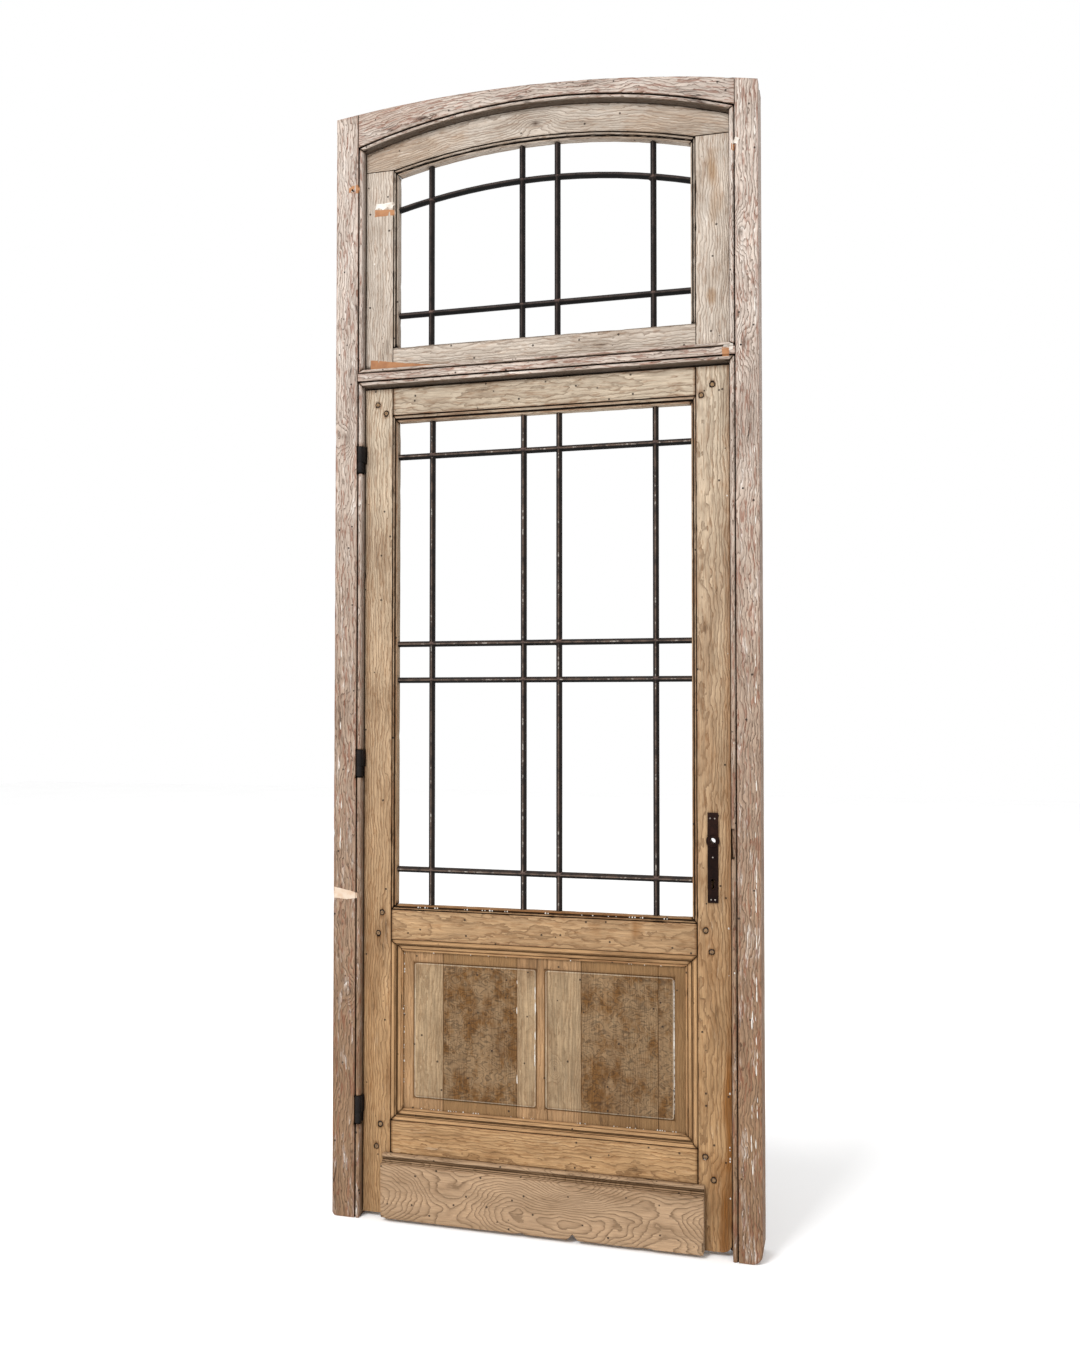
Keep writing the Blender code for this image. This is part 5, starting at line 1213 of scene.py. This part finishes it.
@dataclass
class LowerPanel:
    """Six upright boards with two incised fields, the planted moulding and the weatherboard."""

    board_tones: Tuple[float, ...] = (1.06, 1.0, 1.10, 0.98, 1.0, 0.98)
    dark_boards: Tuple[int, ...] = (2, 5, 6)

    def build(self) -> None:
        """Build and dress the boards, the mouldings and the weatherboard."""
        pale = PANEL_OAK.build()
        dark = DARK_PANEL_OAK.build()
        for number, tone in enumerate(self.board_tones, 1):
            gash = (Knot(0.436, -0.025, 0.005),) if number == 4 else ()
            board = Timber("panel_board_%d" % number, Run.UPRIGHT, 50 + number,
                           pith=(0.03 - 0.012 * number, 0.055), tone=tone, relief=0.3 * MM,
                           grime_and_shade=1.8 * MM, wear=0.4 * MM, chip=1.0 * MM, wander=0.008,
                           across_step=0.0038, along_step=0.009, knots=gash, blackest=0.68)
            board.build(dark if number in self.dark_boards else pale)
        trim = MOULDING_OAK.build()
        for number, side in enumerate(("bottom", "top", "left", "right")):
            run = Run.UPRIGHT if side in ("left", "right") else Run.LEVEL
            moulding = Timber("panel_moulding_" + side, run, 60 + number, pith=(0.04, 0.05),
                              relief=0.2 * MM, wear=0.4 * MM, chip=1.2 * MM, wander=0.005,
                              across_step=0.0025, grime_and_shade=1.5 * MM, seam_reach=1.2 * MM)
            moulding.build(trim)
        arcs = (Knot(0.300, -0.020, 0.034, 0.0, 0.060), Knot(0.640, 0.030, 0.026, 0.0, 0.050),
                Knot(0.880, -0.040, 0.030, 0.0, 0.055))
        board = Timber("weatherboard", Run.LEVEL, 71, pith=(-0.030, 0.045),
                       relief=0.45 * MM, wear=0.8 * MM, chip=3.4 * MM, wander=0.013,
                       along_step=0.008, across_step=0.0040, grime_and_shade=1.4 * MM,
                       seam_reach=1.5 * MM, knots=arcs)
        board.build(WEATHERBOARD_OAK.build())


@dataclass
class GlazingBars:
    """Iron bars of the light and of the leaf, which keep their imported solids."""

    light: Tuple[str, ...] = tuple("light_upright_bar_%d" % n for n in range(1, 5)) + (
        "light_level_bar", "light_curved_bar")
    leaf: Tuple[str, ...] = tuple("leaf_upright_bar_%d" % n for n in range(1, 5)) + tuple(
        "leaf_level_bar_%d" % n for n in range(1, 5))

    def build(self) -> None:
        """Give each bar its iron."""
        for names, finish in ((self.light, BARE_IRON.build()), (self.leaf, PAINTED_IRON.build())):
            for name in names:
                paint_node(name, finish)


def paint_node(name: str, material: bpy.types.Material) -> None:
    """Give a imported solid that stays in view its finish."""
    solid = frame["nodes"][name]
    for slot in solid.material_slots:
        slot.material = material
    LOG.info("%s: dressed as %s", name, material.name)


@dataclass
class Ironmongery:
    """Hinges and lock plate, with their edges eased and their screws in."""

    hinge_names: Tuple[str, ...] = ("upper", "middle", "lower")
    plate_screws: Tuple[Flat, ...] = ((-0.0068, 0.057), (0.0054, 0.057), (-0.0045, -0.1515),
                                      (0.0055, -0.1515), (0.0, -0.043))
    plate_front: float = -0.0313
    boss_front: float = -0.0338
    boss_rim: float = 15.6 * MM
    keyhole_rim: Flat = (7.6 * MM, 14.6 * MM)
    screw_radius: float = 2.3 * MM

    def eased(self, node: str, width: float, material: bpy.types.Material) -> bpy.types.Object:
        """Copy a fitting with its sharp edges rounded over.

        Args:
            node: The fitting's node.
            width: Width of the rounding.
            material: Its finish.

        Returns:
            The fitting's piece.
        """
        work = merged_copy(node)
        edges = [edge for edge in work.edges if len(edge.link_faces) == 2
                 and edge.calc_face_angle(0.0) > math.radians(40.0)]
        bmesh.ops.bevel(work, geom=edges, offset=width, offset_type="OFFSET", segments=2,
                        profile=0.6, affect="EDGES", clamp_overlap=True)
        item = new_object(node + "_fitting", work, sharp=40.0)
        return settle(item, material, body_of(node), slot_of(node), node)

    def rim(self, name: str, middle: Point, half_width: float, half_height: float,
            material: bpy.types.Material) -> bpy.types.Object:
        """A raised half-round rim round a hole in the plate.

        Args:
            name: The rim's name.
            middle: Middle of the hole, on the plate's face.
            half_width: Half its width, to the rim's ridge.
            half_height: Half its height, to the rim's ridge.
            material: Its finish.

        Returns:
            The rim.
        """
        work = bmesh.new()
        sides = 32
        rings = []
        for out, rise in ((1.4, 0.4), (1.2, -0.5), (0.5, -1.1), (-0.5, -1.1), (-1.2, -0.5),
                          (-1.4, 0.4)):
            ring = []
            for k in range(sides):
                angle = 2 * math.pi * k / sides
                ring.append(work.verts.new((
                    middle[0] + (half_width + out * MM) * math.cos(angle),
                    middle[1] + rise * MM,
                    middle[2] + (half_height + out * MM) * math.sin(angle))))
            rings.append(ring)
        skin(work, rings, looped=True)
        return settle(new_object(name, work), material, Body.LEAF.value, "brown_iron")

    def build(self) -> None:
        """Build the hinges, the plate, its rims and its screws."""
        iron = HINGE_IRON.build()
        plate_iron = PLATE_IRON.build()
        for name in self.hinge_names:
            self.eased(name + "_hinge_jamb_half", 0.4 * MM, iron)
            self.eased(name + "_hinge_leaf_half", 0.4 * MM, iron)
        self.eased("lock_plate", 0.5 * MM, plate_iron)
        self.rim("boss_rim", (AT.plate_x, self.boss_front, AT.boss_z), self.boss_rim,
                 self.boss_rim, plate_iron)
        self.rim("keyhole_rim", (AT.plate_x, self.plate_front, AT.keyhole_z),
                 *self.keyhole_rim, plate_iron)
        heads = [((AT.plate_x + across, self.plate_front, AT.boss_z + rise), turn)
                 for turn, (across, rise) in enumerate(self.plate_screws)]
        Scatter("lock_plate_screws", Body.LEAF, "brown_iron", heads,
                self.screw_radius).build(screw_head(), SCREW_STEEL.build())


def screw_head() -> bmesh.types.BMesh:
    """A slotted round head of unit radius that looks along -Y."""
    work = turned(((1.0, 0.0), (0.94, 0.22), (0.70, 0.42), (0.36, 0.52)), sides=12)
    slot = [face for face in work.faces if face.normal.y < -0.9]
    bmesh.ops.inset_region(work, faces=slot, thickness=0.05, depth=-0.16)
    return work


@dataclass
class Scatter:
    """Copies of one small shape set at given places by Geometry Nodes, as one mesh."""

    name: str
    body: Body
    slot: str
    places: Sequence[Tuple[Point, float]]
    size: float
    replaced: Tuple[str, ...] = ()
    stretch: Point = (1.0, 1.0, 1.0)
    spread: float = 0.0
    seed: int = 7

    def build(self, shape: bmesh.types.BMesh, material: bpy.types.Material) -> bpy.types.Object:
        """Set the copies and turn them into a plain mesh.

        Args:
            shape: The small shape, of unit size, looking along -Y.
            material: Its finish.

        Returns:
            The finished piece.
        """
        source = new_object(self.name + "_shape", shape)
        mesh = bpy.data.meshes.new(self.name)
        mesh.from_pydata([place for place, _ in self.places], [], [])
        turns = mesh.attributes.new("turn", "FLOAT", "POINT")
        turns.data.foreach_set("value", [float(turn) for _, turn in self.places])
        carrier = bpy.data.objects.new(self.name + "_points", mesh)
        bpy.context.scene.collection.objects.link(carrier)

        tree = bpy.data.node_groups.new(self.name + "_nodes", "GeometryNodeTree")
        tree.interface.new_socket("Geometry", in_out="INPUT", socket_type="NodeSocketGeometry")
        size = tree.interface.new_socket("Size", in_out="INPUT", socket_type="NodeSocketFloat")
        shape_in = tree.interface.new_socket("Shape", in_out="INPUT",
                                             socket_type="NodeSocketObject")
        seed = tree.interface.new_socket("Seed", in_out="INPUT", socket_type="NodeSocketInt")
        tree.interface.new_socket("Geometry", in_out="OUTPUT", socket_type="NodeSocketGeometry")
        given = add(tree, "NodeGroupInput", out=None)
        turn = add(tree, "GeometryNodeInputNamedAttribute", {"Name": "turn"}, data_type="FLOAT")
        angle = add(tree, "ShaderNodeCombineXYZ", {"Y": turn})
        copied = add(tree, "GeometryNodeObjectInfo", {"Object": given.outputs["Shape"]},
                     out="Geometry")
        vary = add(tree, "FunctionNodeRandomValue", {2: 1.0 - self.spread, 3: 1.0 + self.spread,
                                                     "Seed": given.outputs["Seed"]}, out=1,
                   data_type="FLOAT")
        grown = add(tree, MATH, {0: vary, 1: given.outputs["Size"]}, operation="MULTIPLY")
        scale = add(tree, VECTOR, {0: self.stretch, 3: grown}, operation="SCALE")
        placed = add(tree, "GeometryNodeInstanceOnPoints", {"Points": given.outputs["Geometry"],
                                                            "Instance": copied, "Rotation": angle,
                                                            "Scale": scale})
        real = add(tree, "GeometryNodeRealizeInstances", {"Geometry": placed})
        dressed = add(tree, "GeometryNodeSetMaterial", {"Geometry": real, "Material": material})
        add(tree, "NodeGroupOutput", {"Geometry": dressed}, out=None)

        step = carrier.modifiers.new("copies", "NODES")
        step.node_group = tree
        step[size.identifier] = self.size
        step[seed.identifier] = self.seed
        step[shape_in.identifier] = source
        graph = bpy.context.evaluated_depsgraph_get()
        plain = bpy.data.meshes.new_from_object(carrier.evaluated_get(graph))
        plain.name = self.name
        bpy.data.objects.remove(carrier, do_unlink=True)
        bpy.data.objects.remove(source, do_unlink=True)
        item = bpy.data.objects.new(self.name, plain)
        bpy.context.scene.collection.objects.link(item)
        return settle(item, material, self.body.value, self.slot, *self.replaced)


@dataclass
class Pegs:
    """Twelve riven oak pegs through the joints of the leaf."""

    radius: float = 6.6 * MM
    depth: float = 45.2 * MM
    sunk: float = 0.9 * MM

    def peg(self) -> bmesh.types.BMesh:
        """One peg from front to back, with its rim marked, of unit radius."""
        length = (self.depth - self.sunk) / self.radius
        profile = ((0.30, 0.05), (0.62, 0.05), (0.86, 0.02), (0.97, -0.04), (0.985, -0.14),
                   (0.985, 0.14 - length), (0.86, -length), (0.40, -length))
        return turned(profile, sides=14, mark="rim")

    def build(self) -> None:
        """Set a peg in each hole of the leaf."""
        nodes = [name for name in frame["nodes"] if name.startswith("peg_")]
        places = []
        for number, name in enumerate(sorted(nodes)):
            low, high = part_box(name)
            middle = ((low[0] + high[0]) / 2, low[1] + self.sunk, (low[2] + high[2]) / 2)
            places.append((middle, 0.7 * number))
        Scatter("oak_pegs", Body.LEAF, "honey_oak", places, self.radius,
                tuple(sorted(nodes))).build(self.peg(), PegFinish().build())


@dataclass
class Inlay:
    """A thin patch of filler or paint that lies on the face behind it."""

    name: str
    outline: Outline
    body: Body
    slot: str
    seed: int = 1
    rough_edge: float = 0.8 * MM
    thick: float = 1.4 * MM
    step: float = 3.0 * MM
    dip: float = 4.0 * MM

    def build(self, material: bpy.types.Material) -> bpy.types.Object:
        """Build the patch with a ragged edge.

        Args:
            material: The filler or paint.

        Returns:
            The finished patch.
        """
        dense: List[Flat] = []
        corners = list(self.outline)
        for (x0, z0), (x1, z1) in zip(corners, corners[1:] + corners[:1]):
            count = max(1, int(math.hypot(x1 - x0, z1 - z0) / self.step))
            dense += [(x0 + (x1 - x0) * k / count, z0 + (z1 - z0) * k / count)
                      for k in range(count)]

        # The edge wanders in bites about 4 mm long
        points = np.array([(x, 0.0, z) for x, z in dense])
        ragged = points * 260.0
        shift_x = lattice_noise(ragged, self.seed) * self.rough_edge
        shift_z = lattice_noise(ragged, self.seed + 5) * self.rough_edge
        work = bmesh.new()
        work.faces.new([work.verts.new((x + dx, 0.0, z + dz))
                        for (x, z), dx, dz in zip(dense, shift_x, shift_z)])
        for axis in (0, 2):
            low = min(v.co[axis] for v in work.verts)
            high = max(v.co[axis] for v in work.verts)
            for number in range(1, int((high - low) / self.step)):
                cut_square(work, axis, low + number * self.step, 0.01 * MM)
        fronts = [NEIGHBOURS.front(corner.co.x, corner.co.z) for corner in work.verts]
        deepest = min(fronts) + self.dip
        for corner, front in zip(work.verts, fronts):
            corner.co.y = min(front, deepest) + 0.1 * MM
        bmesh.ops.triangulate(work, faces=[face for face in work.faces if len(face.verts) > 4])
        grown = bmesh.ops.extrude_face_region(work, geom=list(work.faces), use_keep_orig=True)
        for part in grown["geom"]:
            if isinstance(part, bmesh.types.BMVert):
                part.co.y += self.thick
        bmesh.ops.recalc_face_normals(work, faces=work.faces)
        item = new_object(self.name, work)
        return settle(item, material, self.body.value, self.slot)


@dataclass
class Repairs:
    """Filler and scraps of old paint that the years have left on the door."""

    orange: Tuple[Inlay, ...] = (
        Inlay("sash_rail_wedge", ((0.056, 2.3435), (0.248, 2.3435), (0.235, 2.3475),
                                  (0.150, 2.358), (0.056, 2.372)), Body.FRAME,
              "weathered_oak", 3),
        Inlay("sash_stile_fill", ((0.067, 2.776), (0.125, 2.776), (0.125, 2.792),
                                  (0.067, 2.796)), Body.FRAME, "weathered_oak", 5),
        Inlay("hinge_jamb_fill", ((-0.002, 2.843), (0.024, 2.839), (0.030, 2.852),
                                  (0.024, 2.864), (0.008, 2.862), (-0.002, 2.856)),
              Body.FRAME, "weathered_oak", 7),
        Inlay("transom_end_fill", ((1.038, 2.304), (1.056, 2.304), (1.056, 2.325),
                                   (1.038, 2.327)), Body.FRAME, "weathered_oak", 15),
        Inlay("lock_jamb_fill", ((1.062, 2.838), (1.070, 2.836), (1.072, 2.852),
                                 (1.064, 2.856)), Body.FRAME, "weathered_oak", 17),
    )
    white: Tuple[Inlay, ...] = (
        Inlay("sash_stile_paint", ((0.068, 2.797), (0.080, 2.800), (0.092, 2.794),
                                   (0.104, 2.801), (0.118, 2.796), (0.124, 2.806),
                                   (0.122, 2.814), (0.096, 2.812), (0.070, 2.813)),
              Body.FRAME, "weathered_oak", 9),
        Inlay("hinge_jamb_paint", ((0.003, 2.844), (0.018, 2.843), (0.017, 2.851),
                                   (0.006, 2.853)), Body.FRAME, "weathered_oak", 11,
              thick=1.2 * MM),
        Inlay("transom_end_paint", ((1.040, 2.328), (1.056, 2.327), (1.0568, 2.318),
                                    (1.066, 2.320), (1.066, 2.334), (1.052, 2.3385),
                                    (1.042, 2.337)), Body.FRAME, "weathered_oak", 19),
        Inlay("lock_jamb_paint", ((1.066, 2.858), (1.078, 2.852), (1.084, 2.866),
                                  (1.074, 2.872)), Body.FRAME, "weathered_oak", 21),
        Inlay("panel_line_paint", ((0.9015, 0.345), (0.9050, 0.345), (0.9055, 0.520),
                                   (0.9048, 0.690), (0.9018, 0.690), (0.9022, 0.500)),
              Body.LEAF, "dark_oak", 23, rough_edge=0.5 * MM),
        Inlay("rail_nail_paint", ((0.981, 0.242), (0.988, 0.241), (0.989, 0.250),
                                  (0.983, 0.251)), Body.LEAF, "honey_oak", 25),
    )
    cream: Tuple[Inlay, ...] = (
        Inlay("jamb_cream_band", ((-0.0382, 0.872), (0.000, 0.869), (0.031, 0.873),
                                  (0.031, 0.886), (0.010, 0.893), (-0.0382, 0.902)),
              Body.FRAME, "weathered_oak", 13),
    )

    def build(self) -> None:
        """Lay in each patch."""
        for patches, finish in ((self.orange, RESIN_FILLER.build()),
                                (self.white, WHITE_FILLER.build()),
                                (self.cream, CREAM_FILLER.build())):
            for patch in patches:
                patch.build(finish)


@dataclass
class CrumbLine:
    """A straight line along which scraps of old paint are left here and there."""

    start: Flat
    end: Flat
    body: Body
    kept: float = 0.3
    spacing: float = 7.0 * MM
    spread: float = 1.0 * MM

    def places(self, seed: int) -> List[Tuple[Point, float]]:
        """Places of the scraps on the faces behind the line, with their turns.

        Args:
            seed: Number that picks the pattern.

        Returns:
            The places and turns.
        """
        length = math.hypot(self.end[0] - self.start[0], self.end[1] - self.start[1])
        count = max(2, int(length / self.spacing))
        share = np.linspace(0.0, 1.0, count)
        ticks = np.column_stack((np.arange(count) * 0.83, np.full(count, seed * 3.1),
                                 np.zeros(count)))
        kept = 0.5 + 0.5 * lattice_noise(ticks, seed) < self.kept + 0.1
        jitter = lattice_noise(ticks + 40.0, seed) * self.spread
        found = []
        for k in np.flatnonzero(kept):
            x = self.start[0] + (self.end[0] - self.start[0]) * share[k] + jitter[k]
            z = self.start[1] + (self.end[1] - self.start[1]) * share[k]
            y = NEIGHBOURS.front(x, z) + 0.3 * MM
            if y < 0.0:
                found.append(((float(x), y, float(z)), 0.0))
        return found


@dataclass
class PaintScraps:
    """Crumbs of white paint caught along edges and mouldings, and streaks down the lock jamb."""

    crumbs: Tuple[CrumbLine, ...] = (
        CrumbLine((0.1560, 0.305), (0.1560, 0.735), Body.LEAF, 0.24),
        CrumbLine((0.165, 0.2995), (0.930, 0.2995), Body.LEAF, 0.22),
        CrumbLine((0.200, 0.728), (0.900, 0.728), Body.LEAF, 0.05),
        CrumbLine((0.150, 0.8500), (0.945, 0.8500), Body.LEAF, 0.24),
        CrumbLine((1.0490, 0.150), (1.0490, 0.600), Body.LEAF, 0.16),
        CrumbLine((1.0480, 0.700), (1.0480, 2.200), Body.LEAF, 0.04),
        CrumbLine((1.0640, 0.150), (1.0640, 2.250), Body.FRAME, 0.05),
        CrumbLine((0.0600, 2.3420), (1.0300, 2.3420), Body.FRAME, 0.16),
        CrumbLine((0.0660, 2.4350), (0.0660, 2.9000), Body.FRAME, 0.08),
    )
    streaks: Tuple[CrumbLine, ...] = (
        CrumbLine((0.4795, 0.400), (0.4795, 0.660), Body.LEAF, 0.40, 14.0 * MM),
        CrumbLine((0.5300, 0.430), (0.5300, 0.640), Body.LEAF, 0.45, 14.0 * MM),
        CrumbLine((1.1180, 0.300), (1.1200, 1.150), Body.FRAME, 0.40, 18.0 * MM, 2.5 * MM),
        CrumbLine((1.1060, 0.100), (1.1080, 0.620), Body.FRAME, 0.22, 18.0 * MM, 3.0 * MM),
        CrumbLine((1.1200, 1.200), (1.1230, 2.900), Body.FRAME, 0.22, 18.0 * MM, 2.5 * MM),
        CrumbLine((-0.0200, 1.000), (-0.0180, 2.700), Body.FRAME, 0.14, 18.0 * MM, 6.0 * MM),
        CrumbLine((0.0100, 1.900), (0.0120, 2.950), Body.FRAME, 0.16, 18.0 * MM, 6.0 * MM),
    )

    def build(self) -> None:
        """Set the scraps of each kind on each body."""
        paint = WHITE_FILLER.build()
        slots = {Body.LEAF: "honey_oak", Body.FRAME: "weathered_oak"}
        for name, lines, stretch in (("paint_crumbs", self.crumbs, (0.75, 0.30, 1.1)),
                                     ("paint_streaks", self.streaks, (0.65, 0.25, 5.0))):
            for body in Body:
                places = []
                for number, line in enumerate(lines):
                    if line.body is body:
                        places += line.places(100 + number)
                if places:
                    Scatter("%s_%s" % (name, body.value), body, slots[body], places, 2.0 * MM,
                            stretch=stretch, spread=0.45).build(crumb(), paint)


def crumb() -> bmesh.types.BMesh:
    """A scrap of paint of about unit radius, uneven all round."""
    work = bmesh.new()
    bmesh.ops.create_icosphere(work, subdivisions=2, radius=1.0)
    places = np.array([corner.co for corner in work.verts])
    swell = 1.0 + 0.38 * lattice_noise(places * 1.7 + 7.0, 5)
    for corner, factor in zip(work.verts, swell):
        corner.co *= float(factor)
    return work


def sunk_nail() -> bmesh.types.BMesh:
    """The rusted head of a nail, of unit radius, lying a little under the face."""
    return turned(((0.9, -0.9), (1.0, 0.0), (0.85, 0.12), (0.45, 0.02), (0.2, 0.10)), sides=9)


@dataclass
class Nails:
    """Nails driven into the face over the years, their heads rusted black."""

    frame_nails: Tuple[Flat, ...] = ((0.1002, 2.8725), (0.1064, 2.8237), (0.0900, 2.4300),
                                     (1.0290, 2.3640), (1.0860, 2.3300), (0.5200, 2.3250),
                                     (0.3300, 2.3230), (-0.0150, 2.6200), (1.1030, 1.5300),
                                     (1.0900, 1.9600), (-0.0100, 0.4200))
    leaf_nails: Tuple[Flat, ...] = ((0.8909, 0.7995), (0.1000, 0.5900), (0.0700, 1.0500),
                                    (0.9880, 0.5200), (0.3300, 0.1950), (0.9600, 0.0300),
                                    (0.9200, 0.0420), (0.1250, 0.0500))
    radius: float = 2.3 * MM

    def build(self) -> None:
        """Set the nails of both bodies."""
        iron = HINGE_IRON.build()
        for body, spots in ((Body.FRAME, self.frame_nails), (Body.LEAF, self.leaf_nails)):
            places = [((x, NEIGHBOURS.front(x, z) + 0.35 * MM, z), 1.3 * number)
                      for number, (x, z) in enumerate(spots)]
            Scatter("nails_" + body.value, body, "black_iron", places, self.radius,
                    spread=0.2).build(sunk_nail(), iron)


@dataclass
class Crossings:
    """Lumps of braze at the crossings of the bars, filling the inner corners.

    The foot and the rises are in millimetres, in front of the plane of the origin.
    """

    reach: float = 17.5 * MM
    pinch: float = 11.6 * MM
    foot: float = 9.6
    arch_crown: float = 2.8390
    arch_radius: float = 1.590

    def lump(self) -> bmesh.types.BMesh:
        """A low eight-sided pyramid with hollow sides, in metres, its points on the bars."""
        work = bmesh.new()
        rings = []
        profile = ((0.96, self.foot), (1.0, 11.8), (0.62, 15.2), (0.30, 19.6), (0.10, 20.3))
        for share, rise in profile:
            ring = []
            for k in range(8):
                radius = share * (self.pinch if k % 2 else self.reach)
                angle = math.pi * k / 4
                ring.append(work.verts.new((radius * math.cos(angle), (self.foot - rise) * MM,
                                            radius * math.sin(angle))))
            rings.append(ring)
        skin(work, rings)
        return work

    def build(self) -> None:
        """Set a lump at each crossing of the leaf and of the light."""
        brazed = BRAZED_IRON.build()
        depth = -self.foot * MM
        for body, prefix in ((Body.LEAF, "leaf"), (Body.FRAME, "light")):
            places = []
            for k in range(1, 5):
                low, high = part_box("%s_upright_bar_%d" % (prefix, k))
                x = (low[0] + high[0]) / 2
                levels = [name for name in frame["nodes"]
                          if name.startswith(prefix + "_level_bar")]
                heights = [(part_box(name)[0][2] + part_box(name)[1][2]) / 2 for name in levels]
                if body is Body.FRAME:
                    drop = (x - AT.arch_x) ** 2 / (2 * self.arch_radius)
                    heights.append(self.arch_crown - drop)
                places += [((x, depth, z), 0.0) for z in heights]
            Scatter("bar_crossings_" + prefix, body, "black_iron", places, 1.0,
                    spread=0.06).build(self.lump(), brazed)


@dataclass
class Studio:
    """Plain pale floor, soft studio light and the camera."""

    camera_at: Point = (1.383, -3.14647, 1.4049)
    yaw: float = math.radians(15.0)
    pitch: float = 0.0252
    roll: float = 0.0003
    lens: float = 32.134
    sensor: float = 36.0
    world: float = 1.0
    key: float = 900.0
    key_size: float = 3.6
    key_at: Point = (-2.6, -7.6, 7.8)
    key_target: Point = (0.55, 0.0, 1.5)

    def build(self) -> None:
        """Set up the floor, the world, the lamp and the camera."""
        scene = bpy.context.scene
        scene.view_settings.view_transform = "Standard"
        self.build_floor()
        world = bpy.data.worlds.new("pale_studio")
        world.use_nodes = True
        world.node_tree.nodes["Background"].inputs["Color"].default_value = (1.0, 1.0, 1.0, 1.0)
        world.node_tree.nodes["Background"].inputs["Strength"].default_value = self.world
        scene.world = world
        self.build_light("key_light", self.key_at, self.key_target, self.key_size, self.key)
        self.build_camera()

    def build_floor(self) -> None:
        """A wide pale floor just under the feet of the jambs."""
        work = bmesh.new()
        bmesh.ops.create_grid(work, x_segments=8, y_segments=8, size=14.0,
                              matrix=Matrix.Translation((0.5, 2.0, -0.0004)))
        floor = new_object("floor", work)
        material, tree, shader = start_material("pale_floor_paint")
        place = add(tree, COORDINATES, out="Object")
        cloud = add(tree, NOISE, {"Vector": place, "Scale": 1.4, "Detail": 2.0})
        colour = add(tree, MIX, {0: cloud, 6: (0.94, 0.94, 0.94, 1.0), 7: (0.98, 0.98, 0.98, 1.0)},
                     **COLOUR)
        tree.links.new(colour, shader.inputs["Base Color"])
        shader.inputs["Roughness"].default_value = 0.9
        shader.inputs["Specular IOR Level"].default_value = 0.1
        floor.data.materials.append(material)

    def build_light(self, name: str, place: Point, target: Point, size: float,
                    power: float) -> None:
        """A soft square lamp.

        Args:
            name: Its name.
            place: Where it stands.
            target: The point that it looks at.
            size: Side of the square.
            power: Its power in watts.
        """
        lamp = bpy.data.lights.new(name, "AREA")
        lamp.size = size
        lamp.energy = power
        item = bpy.data.objects.new(name, lamp)
        item.location = place
        item.rotation_euler = (Vector(target) - Vector(place)).to_track_quat("-Z", "Y").to_euler()
        bpy.context.scene.collection.objects.link(item)

    def build_camera(self) -> None:
        """The camera, right of the door and turned a little to the left."""
        lens = bpy.data.cameras.new("camera")
        lens.sensor_fit = "VERTICAL"
        lens.sensor_height = self.sensor
        lens.lens = self.lens
        camera = bpy.data.objects.new("camera", lens)
        forward = Vector((-math.sin(self.yaw) * math.cos(self.pitch),
                          math.cos(self.yaw) * math.cos(self.pitch), math.sin(self.pitch)))
        turn = forward.to_track_quat("-Z", "Y") @ Matrix.Rotation(self.roll, 3,
                                                                  "Z").to_quaternion()
        camera.rotation_mode = "QUATERNION"
        camera.rotation_quaternion = turn
        camera.location = self.camera_at
        bpy.context.scene.collection.objects.link(camera)
        bpy.context.scene.camera = camera


def main() -> None:
    """Build every sub-assembly in order, then the studio."""
    logging.basicConfig(level=logging.INFO, format="%(message)s")
    Studio().build()
    TimberFrame().build()
    ArchedLight().build()
    LeafFrame().build()
    LowerPanel().build()
    GlazingBars().build()
    Ironmongery().build()
    Pegs().build()
    Crossings().build()
    Repairs().build()
    PaintScraps().build()
    Nails().build()


if __name__ == "__main__":
    main()
